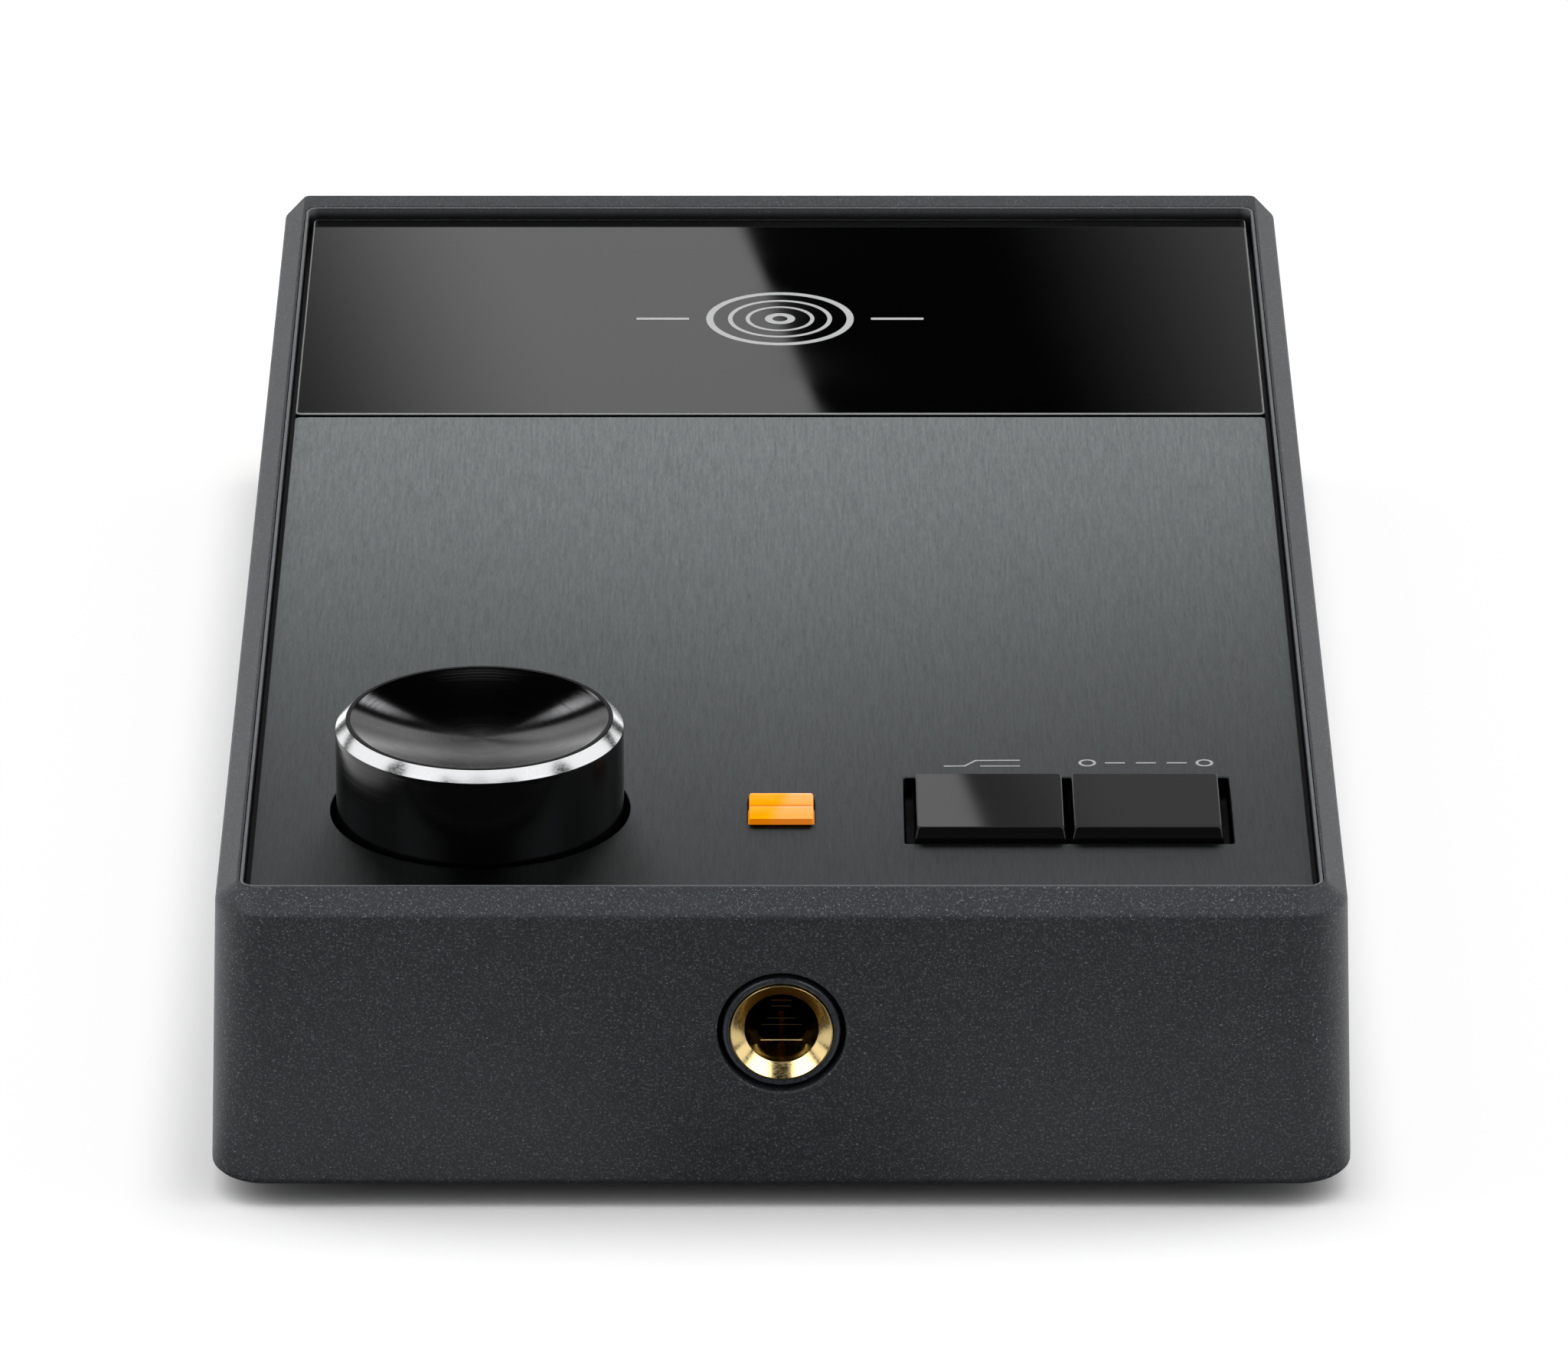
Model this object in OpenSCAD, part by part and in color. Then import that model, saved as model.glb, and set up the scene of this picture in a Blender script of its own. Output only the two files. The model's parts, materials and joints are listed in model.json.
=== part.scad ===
// Desktop phono preamplifier with a headphone output.
// A drafted, chamfered case carries a brushed top plate and a gloss glass window in a thin
// moulded frame. A dished volume knob, a lit lens and two push buttons pass through the plate,
// a 6.35 mm headphone socket opens in the front and the connectors stand out of the back.
//
// Frame: +Z up, -Y is the front. The origin is on the ground under the middle of the
// whole footprint. Inside placed() the front face is y = 0 and the case bottom is z = 0.

/* [Case] */
// Width of the case at its bottom edge
case_w = 101.6; // [101:0.1:104]
// Depth of the case from front face to rear face
case_d = 176.2; // [174:0.1:184]
// Height of the case without its feet
case_h = 28.3; // [28.2:0.1:30]
// Inward lean of each side wall, in degrees
side_draft = 1.55; // [0.5:0.05:1.8]
// Width of the top chamfer, seen from above
chamfer_in = 1.9; // [1.5:0.05:2.1]
// Height of the top chamfer, seen from the side
chamfer_drop = 2.1; // [1.5:0.05:2.5]
// Radius of the front vertical corners
front_corner_r = 5; // [3.5:0.1:6]
// Width of the flat rim behind the window
rear_rim = 3.15; // [2.6:0.05:4]
// Height of the rubber feet below the case
foot_h = 2; // [1:0.1:5]

/* [Top face] */
// Depth of the plate and window below the rim
panel_recess = 1.1; // [0.6:0.05:1.4]
// Where the brushed plate ends and the window begins, from the front face
panel_split = 118.1; // [100:0.1:125]
// Gap between the plate and the window
split_gap = 0.9; // [0.4:0.1:1.5]
// Gap between the panels and the lip of the frame
panel_gap = 0.5; // [0.3:0.05:0.8]

/* [Volume knob] */
// Distance of the knob's axis left of the middle
knob_x = 27; // [25:0.1:30]
// Distance of the knob's axis behind the front face
knob_y = 22; // [20:0.1:26]
// Radius of the knob's side
knob_r = 12.9; // [11.5:0.05:13]
// Height of the knob's rim above the plate
knob_rise = 8.85; // [8:0.05:12]
// Width of the bright chamfer round the knob's rim
knob_chamfer = 0.95; // [0.5:0.05:1.5]
// Width of the flat rim between that chamfer and the dish
knob_rim = 0.4; // [0.2:0.05:1]
// Depth of the dish in the knob's top
dish_depth = 2; // [0.5:0.1:2.4]

/* [Buttons and lens] */
// Middle of the button slot, right of the middle of the case
slot_x = 25.7; // [25:0.1:27]
// Middle of the button slot, behind the front face
slot_y = 21.45; // [20:0.05:24]
// Width of the button slot
slot_w = 29.4; // [29:0.1:30.5]
// Depth of the button slot, front to back
slot_d = 15.1; // [14.8:0.1:17]
// Height of the button tops above the plate
button_rise = 1; // [0.7:0.05:1.6]
// Travel of a button
button_travel = 1.5; // [0.8:0.1:1.6]
// Width and depth of the lit lens
lens_w = 5.7; // [4:0.1:6]
// Middle of the lens behind the front face
lens_y = 21.3; // [20:0.1:25]
// Height of the lens above the plate
lens_rise = 0.6; // [0.3:0.05:1]

/* [Connectors] */
// Bore radius of the headphone socket
jack_bore_r = 3.25; // [3.2:0.01:3.3]
// Height of the headphone socket's axis above the case bottom
jack_z = 15; // [14.8:0.1:15.2]
// Outer radius of each phono socket
phono_r = 4.15; // [4.1:0.01:4.2]
// Distance the phono sockets stand out behind the case
phono_out = 9; // [7:0.1:11]
// Distance between the two phono sockets of a pair
phono_pitch = 14; // [13.5:0.1:14]
// Axis height of the rear connectors above the case bottom
rear_z = 13.2; // [12.8:0.1:13.4]
// Radius of the earth terminal's stud
stud_r = 2; // [1.9:0.05:2]

/* [Hidden] */

$fn = 64;
hull_fn = 48;
eps = 0.01;
past = 1;

// Case walls
top_half_w = case_w / 2 - tan(side_draft) * case_h - chamfer_in;
rim_flat = 0.15;
open_half_w = top_half_w - rim_flat;
open_front = chamfer_in + rim_flat;
open_rear = case_d - rear_rim;
open_r = 1.5;
rim_corner_r = open_r + rim_flat;
bottom_break = 0.6;
rear_corner_r = 0.6;
side_wall = 3.2;
front_wall = 3;
rear_wall = 2.2;
cavity_half_w = case_w / 2 - side_wall;
cavity_rear = case_d - rear_wall;

// Heights of the layers under the top face
panel_top = case_h - panel_recess;
panel_t = 1.2;
tape_t = 0.3;
frame_floor_t = 1.5;
ledge_t = 1.7;
panel_bottom = panel_top - panel_t;
floor_top = panel_bottom - tape_t;
ledge_top = floor_top - frame_floor_t;
ledge_bottom = ledge_top - ledge_t;

// Frame and panels
groove_w = 0.15;
lip_t = 0.28;
lip_drop = 0.05;
lip_half_w = open_half_w - groove_w;
lip_inner_half_w = lip_half_w - lip_t;
lip_front = open_front + groove_w;
lip_rear = open_rear - groove_w;
lip_r = open_r - groove_w;
lip_inner_r = lip_r - lip_t;
panel_half_w = lip_inner_half_w - panel_gap;
panel_front = lip_front + lip_t + panel_gap;
panel_rear = lip_rear - lip_t - panel_gap;
panel_r = 0.6;
floor_half_w = panel_half_w - 2.5;
floor_front = panel_front + 2.5;
floor_rear = panel_rear - 2.5;
crossbar_d = 9;
ledge_half_w = floor_half_w + 1.2;

// Base, bosses and feet
base_t = 1.2;
base_bottom = 0.3;
base_top = base_bottom + base_t;
base_gap = 0.15;
boss_r = 3.4;
boss_x = cavity_half_w - 3.2;
boss_front_y = 7;
boss_rear_y = case_d - 28;
boss_top = ledge_bottom;
foot_r = 6;
foot_x = 38;
foot_front_y = 14;
foot_rear_y = case_d - 14;

// M3 screws
screw_r = 1.5;
screw_gap = 0.05;
screw_head_r = 2.75;
tapping_r = 1.2;
tapping_head_r = 2;

// Circuit board
board_bottom = 7;
board_t = 1.6;
board_top = board_bottom + board_t;
board_half_w = 43.5;
board_front = 34.5;
board_front_half_w = 41;
board_nose = 5;
board_rear = case_d - 5.4;
seat_gap = 0.05;
part_z = board_top + seat_gap;
standoff_x = 38;
standoff_front_y = 38;
standoff_rear_y = case_d - 40;
standoff_flats_r = 3.2;

// Knob and potentiometer
knob_top = panel_top + knob_rise;
knob_bottom = panel_top - 2.2;
knob_hole_r = knob_r + 0.55;
knob_cup_r = knob_r - 2.4;
knob_cup_top = knob_top - dish_depth - 0.9;
insert_flange_t = 1.8;
insert_hub_r = 5.5;
insert_top = knob_cup_top - 0.1;
insert_bottom = panel_bottom - 3.7;
pot_w = 17;
pot_h = 7.8;
pot_bushing_r = 4.2;
pot_bushing_top = insert_bottom - 1.2;
shaft_r = 3;
shaft_flat = 1.5;
shaft_bottom = part_z + 3.5;
shaft_top = insert_top - 0.5;
run_gap = 0.05;
dish_half_w = knob_r - knob_chamfer - knob_rim;
dish_r = (dish_half_w ^ 2 + dish_depth ^ 2) / (2 * dish_depth);

// Buttons
button_gap = 1.05;
button_top_w = 13;
button_flank_gap = 1.35;
button_top_d = slot_d - 2 * button_flank_gap - 0.25;
button_flank = 0.3;
button_flank_h = 1.2;
button_top = panel_top + button_rise;
button_bottom = panel_bottom - 2;
button_lip = 0.7;
button_lip_t = 1;
button_wall = 1.2;
button_xs = [
    slot_x - (button_top_w + button_gap) / 2,
    slot_x + (button_top_w + button_gap) / 2
];
switch_w = 8;
switch_h = 6.9;
switch_top = part_z + switch_h;
plunger_r = 1.9;
socket_r = 3.2;
socket_bottom = button_bottom - 0.4;
plunger_bottom = part_z + 0.3 + button_travel;
plunger_top = button_bottom + 1.6;
spring_r = 2.75;
spring_wire_r = 0.25;
spring_turns = 6;

// Headphone socket
sleeve_r = 4.56;
sleeve_flare_r = 4.3;
sleeve_flare_d = 1.7;
sleeve_end = 12;
collar_r = 5.22;
jack_hole_r = 5.72;
jack_gap = 0.05;
jack_front = front_wall + 0.1;
jack_half_w = 8;
jack_body_top = ledge_bottom - 0.2;
jack_end = 33;
led_board_top = jack_body_top + 0.6;

// Rear panel and connectors
rear_window_half_w = 44.5;
rear_window_bottom = 2.5;
rear_window_top = ledge_bottom - 0.5;
rear_panel_t = 1.5;
rear_panel_out = cavity_rear - 0.1;
rear_panel_in = rear_panel_out - rear_panel_t;
socket_face = rear_panel_in - 0.1;
rear_tip = case_d + phono_out;
phono_pair_xs = [-31, 5];
phono_flange_r = 4.9;
phono_flange_t = 1;
phono_inner_r = phono_r - 0.7;
phono_insert_r = phono_inner_r - 0.05;
phono_contact_r = 1.85;
phono_contact_bore_r = 1.6;
phono_back = socket_face - 4.3;
phono_house_back = socket_face - 14;
stud_x = -13;
dc_x = 24.5;
dc_nose_r = 4;
dc_bore_r = 2.85;
dc_pin_r = 1.05;
usb_x = 37.5;
usb_w = 12;
usb_h = 10.9;
usb_wall = 0.4;
usb_bevel = 2.6;
usb_out = rear_panel_out + 0.6;
usb_tongue_w = 5.6;
usb_tongue_h = 3.2;
stud_tip = rear_tip - 0.4;
lock_nut_t = 1.5;
lock_nut_out = rear_panel_out + 0.05 + lock_nut_t;
washer_t = 0.65;
washer_out = lock_nut_out + 0.05 + washer_t;
thumb_nut_in = washer_out + 0.05;
thumb_nut_d = 5.6;
thumb_nut_r = 4.7;
thumb_nut_ribs = 24;

overall_d = rear_tip;

// ---------------------------------------------------------------- shared shapes

// Moves a shape from the case's own frame to the part's frame
module placed() {
    translate([0, -overall_d / 2, foot_h]) children();
}

// Mirrors a shape to both sides of the middle
module both_sides() {
    children();
    mirror([1, 0, 0]) children();
}

// A slab with rounded vertical corners, from corner [x0, y0] to corner [x1, y1]
module rounded_slab(x0, y0, x1, y1, z0, z1, r) {
    h = z1 - z0;
    translate([x0 + r, y0, z0]) cube([x1 - x0 - 2 * r, y1 - y0, h]);
    translate([x0, y0 + r, z0]) cube([x1 - x0, y1 - y0 - 2 * r, h]);
    for (x = [x0 + r, x1 - r], y = [y0 + r, y1 - r])
        translate([x, y, z0]) cylinder(r = r, h = h);
}

// A box given by its middle in x and y and by its bottom and top
module block(x, y, w, d, z0, z1) {
    translate([x - w / 2, y - d / 2, z0]) cube([w, d, z1 - z0]);
}

// A cylinder along +Y between two depths
module rod_y(x, z, r, y0, y1) {
    translate([x, y0, z]) rotate([-90, 0, 0]) cylinder(r = r, h = y1 - y0);
}

// A six-sided bar along +Y between two depths; r is half its width across corners
module hex_y(x, z, r, y0, y1) {
    translate([x, y0, z]) rotate([-90, 0, 0]) cylinder(r = r, h = y1 - y0, $fn = 6);
}

// ---------------------------------------------------------------- case

// One level of the case's outline: half width, front and rear edges, and front radius
module outline_level(half_w, front_y, rear_y, r, z) {
    both_sides() {
        translate([half_w - r, front_y + r, z]) cylinder(r = r, h = eps, $fn = hull_fn);
        translate([half_w - rear_corner_r, rear_y - rear_corner_r, z])
            cylinder(r = rear_corner_r, h = eps, $fn = hull_fn);
    }
}

module case_outside() {
    chamfer_z = case_h - chamfer_drop;
    hull() {
        outline_level(case_w / 2 - bottom_break, bottom_break, case_d - bottom_break,
                      front_corner_r - bottom_break, 0);
        outline_level(case_w / 2, 0, case_d, front_corner_r, bottom_break);
        outline_level(case_w / 2 - tan(side_draft) * chamfer_z, 0, case_d,
                      front_corner_r, chamfer_z);
        outline_level(top_half_w, chamfer_in, case_d, rim_corner_r, case_h - eps);
    }
}

// The hollow below the ledge, open at the bottom
module case_cavity() {
    translate([-cavity_half_w, front_wall, -past])
        cube([2 * cavity_half_w, cavity_rear - front_wall, ledge_bottom + past]);
}

// The pocket the frame drops into, and the opening inside the ledge
module top_opening() {
    rounded_slab(-open_half_w, open_front, open_half_w, open_rear,
                 ledge_top, case_h + past, open_r);
    translate([-ledge_half_w, floor_front - 1.2, ledge_bottom - past])
        cube([2 * ledge_half_w, floor_rear - floor_front + 2.4, ledge_t + 2 * past]);
}

module boss_places() {
    for (y = [boss_front_y, boss_rear_y])
        both_sides() translate([boss_x, y, 0]) children();
}

module case_shell() {
    color([0.17, 0.18, 0.18]) placed() difference() {
        union() {
            difference() {
                case_outside();
                case_cavity();
            }
            boss_places() translate([0, 0, base_top])
                cylinder(r = boss_r, h = boss_top - base_top + eps);
        }
        top_opening();
        boss_places() translate([0, 0, -past])
            cylinder(r = screw_r + screw_gap, h = 12 + past);
        rod_y(0, jack_z, jack_hole_r, -past, front_wall + past);
        translate([-rear_window_half_w, cavity_rear - past, rear_window_bottom])
            cube([2 * rear_window_half_w, rear_wall + 2 * past,
                  rear_window_top - rear_window_bottom]);
    }
}

module base_plate() {
    color([0.1, 0.1, 0.11]) placed() difference() {
        translate([-cavity_half_w + base_gap, front_wall + base_gap, base_bottom])
            cube([2 * (cavity_half_w - base_gap), cavity_rear - front_wall - 2 * base_gap,
                  base_t]);
        boss_places() translate([0, 0, base_bottom])
            cylinder(r1 = screw_head_r + 0.15, r2 = screw_r + 0.15, h = base_t);
        // Cooling slots under the board
        for (i = [-4:4])
            translate([i * 7 - 1, case_d * 0.52, base_bottom - past])
                cube([2, 24, base_t + 2 * past]);
    }
}

module base_screws() {
    color([0.12, 0.12, 0.12]) placed() boss_places() difference() {
        union() {
            translate([0, 0, base_bottom])
                cylinder(r1 = screw_head_r, r2 = screw_r, h = base_t);
            translate([0, 0, base_top - eps]) cylinder(r = screw_r, h = 8);
        }
        // Cross recess
        for (a = [0, 90])
            rotate([0, 0, a]) block(0, 0, 2.6, 0.6, base_bottom - past, base_bottom + 0.8);
    }
}

module feet() {
    color([0.06, 0.06, 0.06]) placed() for (y = [foot_front_y, foot_rear_y])
        both_sides() translate([foot_x, y, -foot_h]) rotate_extrude() polygon([
            [0, 0], [foot_r - 0.9, 0], [foot_r - 0.3, 0.5],
            [foot_r, foot_h + base_bottom], [0, foot_h + base_bottom]
        ]);
}

// ---------------------------------------------------------------- top face

module top_frame() {
    color([0.2, 0.2, 0.21]) placed() {
        difference() {
            rounded_slab(-lip_half_w, lip_front, lip_half_w, lip_rear,
                         ledge_top, case_h - lip_drop, lip_r);
            rounded_slab(-lip_inner_half_w, lip_front + lip_t, lip_inner_half_w,
                         lip_rear - lip_t, floor_top, case_h + past, lip_inner_r);
            translate([-floor_half_w, floor_front, ledge_top - past])
                cube([2 * floor_half_w, panel_split - crossbar_d / 2 - floor_front,
                      frame_floor_t + 2 * past]);
            translate([-floor_half_w, panel_split + crossbar_d / 2, ledge_top - past])
                cube([2 * floor_half_w, floor_rear - panel_split - crossbar_d / 2,
                      frame_floor_t + 2 * past]);
        }
    }
}

// The two ribbons of tape: a frame under the plate and a frame under the window
module tape_ring(y0, y1) {
    width = 1.8;
    difference() {
        translate([-panel_half_w + 0.2, y0, floor_top])
            cube([2 * (panel_half_w - 0.2), y1 - y0, tape_t]);
        translate([-panel_half_w + 0.2 + width, y0 + width, floor_top - past])
            cube([2 * (panel_half_w - 0.2 - width), y1 - y0 - 2 * width, tape_t + 2 * past]);
    }
}

module mounting_tapes() {
    color([0.85, 0.84, 0.8]) placed() {
        tape_ring(panel_front + 0.2, panel_split - split_gap / 2 - 0.2);
        tape_ring(panel_split + split_gap / 2 + 0.2, panel_rear - 0.2);
    }
}

module top_plate() {
    color([0.33, 0.34, 0.34]) placed() difference() {
        rounded_slab(-panel_half_w, panel_front, panel_half_w, panel_split - split_gap / 2,
                     panel_bottom, panel_top, panel_r);
        translate([-knob_x, knob_y, panel_bottom - past])
            cylinder(r = knob_hole_r, h = panel_t + 2 * past);
        block(0, lens_y, lens_w + 0.3, lens_w + 0.3, panel_bottom - past, panel_top + past);
        block(slot_x, slot_y, slot_w, slot_d, panel_bottom - past, panel_top + past);
    }
}

module glass_window() {
    color([0.03, 0.03, 0.035]) placed()
        rounded_slab(-panel_half_w, panel_split + split_gap / 2, panel_half_w, panel_rear,
                     panel_bottom, panel_top, panel_r);
}

// ---------------------------------------------------------------- circuit board

module main_board() {
    color([0.08, 0.25, 0.16]) placed() difference() {
        union() {
            translate([-board_front_half_w, board_nose, board_bottom])
                cube([2 * board_front_half_w, board_front - board_nose + eps, board_t]);
            translate([-board_half_w, board_front, board_bottom])
                cube([2 * board_half_w, board_rear - board_front, board_t]);
        }
        boss_places() translate([0, 0, board_bottom - past])
            cylinder(r = boss_r + 0.8, h = board_t + 2 * past);
        standoff_places() translate([0, 0, board_bottom - past])
            cylinder(r = screw_r + 0.15, h = board_t + 2 * past);
    }
}

module standoff_places() {
    for (y = [standoff_front_y, standoff_rear_y])
        both_sides() translate([standoff_x, y, 0]) children();
}

module board_standoffs() {
    color([0.72, 0.6, 0.3]) placed() standoff_places() difference() {
        translate([0, 0, base_top])
            cylinder(r = standoff_flats_r, h = board_bottom - base_top, $fn = 6);
        translate([0, 0, base_top + 0.8])
            cylinder(r = screw_r + screw_gap, h = board_bottom - base_top);
    }
}

module board_screws() {
    color([0.7, 0.7, 0.72]) placed() standoff_places() difference() {
        union() {
            translate([0, 0, board_bottom - 4]) cylinder(r = screw_r, h = 4 + board_t + eps);
            translate([0, 0, board_top]) cylinder(r = screw_head_r, h = 1.9);
        }
        for (a = [0, 90])
            rotate([0, 0, a]) block(0, 0, 3, 0.7, board_top + 0.9, board_top + 3);
    }
}

// ---------------------------------------------------------------- volume control

module at_knob() {
    translate([-knob_x, knob_y, 0]) children();
}

module pot_body() {
    color([0.16, 0.2, 0.3]) placed() at_knob() difference() {
        union() {
            block(0, 0, pot_w, pot_w, part_z, part_z + pot_h);
            cylinder(r = pot_bushing_r, h = pot_bushing_top);
        }
        translate([0, 0, -past]) cylinder(r = pot_bushing_r + 1, h = part_z + past);
        translate([0, 0, shaft_bottom - 0.2])
            cylinder(r = shaft_r + run_gap, h = pot_bushing_top);
    }
}

// A round bar with one flat, for the shaft's end and the hole that takes it
module d_bar(r, flat, z0, z1) {
    intersection() {
        translate([0, 0, z0]) cylinder(r = r, h = z1 - z0);
        translate([-r - past, -r - past, z0])
            cube([r + past + flat, 2 * (r + past), z1 - z0]);
    }
}

module pot_shaft() {
    color([0.75, 0.75, 0.76]) placed() at_knob() {
        translate([0, 0, shaft_bottom])
            cylinder(r = shaft_r, h = insert_bottom - shaft_bottom - 0.3);
        d_bar(shaft_r, shaft_flat, insert_bottom - 0.4, shaft_top);
    }
}

module knob_insert() {
    color([0.12, 0.12, 0.12]) placed() at_knob() difference() {
        union() {
            translate([0, 0, insert_bottom])
                cylinder(r = insert_hub_r, h = insert_top - insert_bottom);
            translate([0, 0, insert_top - insert_flange_t])
                cylinder(r = knob_cup_r - run_gap, h = insert_flange_t);
        }
        d_bar(shaft_r + run_gap, shaft_flat + run_gap, insert_bottom - past, insert_top - 0.3);
    }
}

module volume_knob() {
    color([0.05, 0.05, 0.055]) placed() at_knob() difference() {
        rotate_extrude($fn = 128) polygon([
            [0, knob_bottom], [knob_r - 0.2, knob_bottom], [knob_r, knob_bottom + 0.2],
            [knob_r, knob_top - knob_chamfer], [knob_r - knob_chamfer, knob_top],
            [0, knob_top]
        ]);
        translate([0, 0, knob_bottom - past])
            cylinder(r = knob_cup_r, h = knob_cup_top - knob_bottom + past);
        translate([0, 0, knob_top - dish_depth + dish_r]) sphere(r = dish_r, $fn = 256);
    }
}

// ---------------------------------------------------------------- lens and buttons

// A block whose four sides lean inward to a smaller top
module leaning_block(x, y, w, d, lean, z0, z_bend, z1) {
    hw = w / 2;
    hd = d / 2;
    h = z1 - z0;
    bend = z_bend - z0;
    translate([x, y, z0]) intersection() {
        translate([0, hd + lean + past, 0]) rotate([90, 0, 0])
            linear_extrude(d + 2 * (lean + past)) polygon([
                [-hw - lean, 0], [hw + lean, 0], [hw + lean, bend],
                [hw, h], [-hw, h], [-hw - lean, bend]
            ]);
        translate([-hw - lean - past, 0, 0]) rotate([90, 0, 90])
            linear_extrude(w + 2 * (lean + past)) polygon([
                [-hd - lean, 0], [hd + lean, 0], [hd + lean, bend],
                [hd, h], [-hd, h], [-hd - lean, bend]
            ]);
    }
}

module led_lens() {
    color([1, 0.62, 0.05]) placed() {
        leaning_block(0, lens_y, lens_w - 0.3, lens_w - 0.3, 0.15,
                      panel_bottom - 0.1 - eps, panel_top + 0.1, panel_top + lens_rise);
        block(0, lens_y, lens_w + 1.7, lens_w + 1.7, panel_bottom - 1.3, panel_bottom - 0.1);
    }
}

module led_chip() {
    color([0.95, 0.93, 0.85]) placed() {
        block(0, lens_y, 3.4, 2.8, led_board_top, led_board_top + 0.8);
        translate([0, lens_y, led_board_top + 0.8 - eps]) cylinder(r = 1.2, h = 0.3);
    }
}

// The small board that carries the lamp, on top of the headphone socket
module led_board() {
    color([0.08, 0.25, 0.16]) placed()
        block(0, lens_y, 2 * jack_half_w, 9, jack_body_top, led_board_top);
}

// The flat cable from the lamp's board down to the main board
module led_ribbon() {
    out = jack_half_w + 0.6;
    thick = 0.25;
    color([0.9, 0.9, 0.92]) placed() translate([0, lens_y + 2.5, 0]) rotate([90, 0, 0])
        linear_extrude(5) polygon([
            [jack_half_w - 3, led_board_top], [out, led_board_top], [out, part_z],
            [out + thick, part_z], [out + thick, led_board_top + thick],
            [jack_half_w - 3, led_board_top + thick]
        ]);
}

// One button cap; side is -1 for the left cap and 1 for the right cap
module button_cap(x, side) {
    lip_w = button_top_w / 2 + button_flank + button_lip;
    difference() {
        union() {
            leaning_block(x, slot_y, button_top_w, button_top_d, button_flank,
                          button_bottom, button_top - button_flank_h, button_top);
            translate([side > 0 ? x : x - lip_w - 0.5, slot_y - slot_d / 2 - button_lip,
                       button_bottom])
                cube([lip_w + 0.5, slot_d + 2 * button_lip, button_lip_t]);
            translate([x, slot_y, socket_bottom])
                cylinder(r = socket_r, h = button_top - socket_bottom - 1);
        }
        difference() {
            block(x, slot_y, button_top_w - 2 * button_wall, button_top_d - 2 * button_wall,
                  button_bottom - past, button_top - 1.3);
            translate([x, slot_y, socket_bottom - past])
                cylinder(r = socket_r, h = button_top - socket_bottom);
        }
        translate([x, slot_y, socket_bottom - past])
            cylinder(r = plunger_r + 0.02, h = plunger_top - socket_bottom + past + 0.1);
    }
}

module left_button() {
    color([0.04, 0.04, 0.045]) placed() button_cap(button_xs[0], -1);
}

module right_button() {
    color([0.04, 0.04, 0.045]) placed() button_cap(button_xs[1], 1);
}

module plunger(x) {
    translate([x, slot_y, plunger_bottom])
        cylinder(r = plunger_r, h = plunger_top - plunger_bottom);
}

module left_plunger() {
    color([0.85, 0.85, 0.82]) placed() plunger(button_xs[0]);
}

module right_plunger() {
    color([0.85, 0.85, 0.82]) placed() plunger(button_xs[1]);
}

module switch_bodies() {
    color([0.2, 0.2, 0.22]) placed() for (x = button_xs) difference() {
        block(x, slot_y, switch_w, switch_w, part_z, switch_top);
        translate([x, slot_y, part_z + 0.2])
            cylinder(r = plunger_r + run_gap, h = switch_h);
    }
}

// A round wire wound on a cylinder, with flat cut ends
module coil(radius, wire_r, turns, height) {
    sides = 8;
    steps = 20 * turns;
    ring = [for (j = [0:sides - 1]) [wire_r * cos(360 * j / sides), wire_r * sin(360 * j / sides)]];
    points = [for (i = [0:steps], p = ring)
        let (a = 360 * turns * i / steps)
        [(radius + p[0]) * cos(a), (radius + p[0]) * sin(a), height * i / steps + p[1]]];
    sides_faces = [for (i = [0:steps - 1], j = [0:sides - 1])
        let (k = (j + 1) % sides)
        [i * sides + j, (i + 1) * sides + j, (i + 1) * sides + k, i * sides + k]];
    start_face = [for (j = [0:sides - 1]) j];
    end_face = [for (j = [sides - 1:-1:0]) steps * sides + j];
    polyhedron(points, concat(sides_faces, [start_face], [end_face]));
}

module button_spring(x) {
    gap = spring_wire_r + 0.03;
    translate([x, slot_y, switch_top + gap])
        coil(spring_r, spring_wire_r, spring_turns, socket_bottom - switch_top - 2 * gap);
}

module left_spring() {
    color([0.7, 0.7, 0.7]) placed() button_spring(button_xs[0]);
}

module right_spring() {
    color([0.7, 0.7, 0.7]) placed() button_spring(button_xs[1]);
}

// ---------------------------------------------------------------- headphone socket

module jack_sleeve() {
    color([0.85, 0.65, 0.3]) placed() translate([0, 0, jack_z]) rotate([-90, 0, 0])
        rotate_extrude($fn = 128) polygon([
            [sleeve_flare_r, 0], [sleeve_r - 0.1, 0], [sleeve_r, 0.1], [sleeve_r, sleeve_end],
            [jack_bore_r, sleeve_end], [jack_bore_r, sleeve_flare_d]
        ]);
}

module jack_collar() {
    color([0.12, 0.12, 0.12]) placed() difference() {
        rod_y(0, jack_z, collar_r, 0.25, jack_front - 0.02);
        rod_y(0, jack_z, sleeve_r + jack_gap, -past, front_wall + past);
    }
}

module jack_body() {
    color([0.07, 0.07, 0.075]) placed() difference() {
        translate([-jack_half_w, jack_front, part_z])
            cube([2 * jack_half_w, jack_end - jack_front, jack_body_top - part_z]);
        rod_y(0, jack_z, sleeve_r + jack_gap, jack_front - past, sleeve_end + 0.1);
        rod_y(0, jack_z, jack_bore_r + 0.5, sleeve_end - past, jack_end - 2.5);
        // Slots for the leaf contacts, above and below the bore
        translate([-1.4, sleeve_end + 1, part_z + 0.8])
            cube([2.8, 16, jack_body_top - part_z - 1.6]);
    }
}

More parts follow.
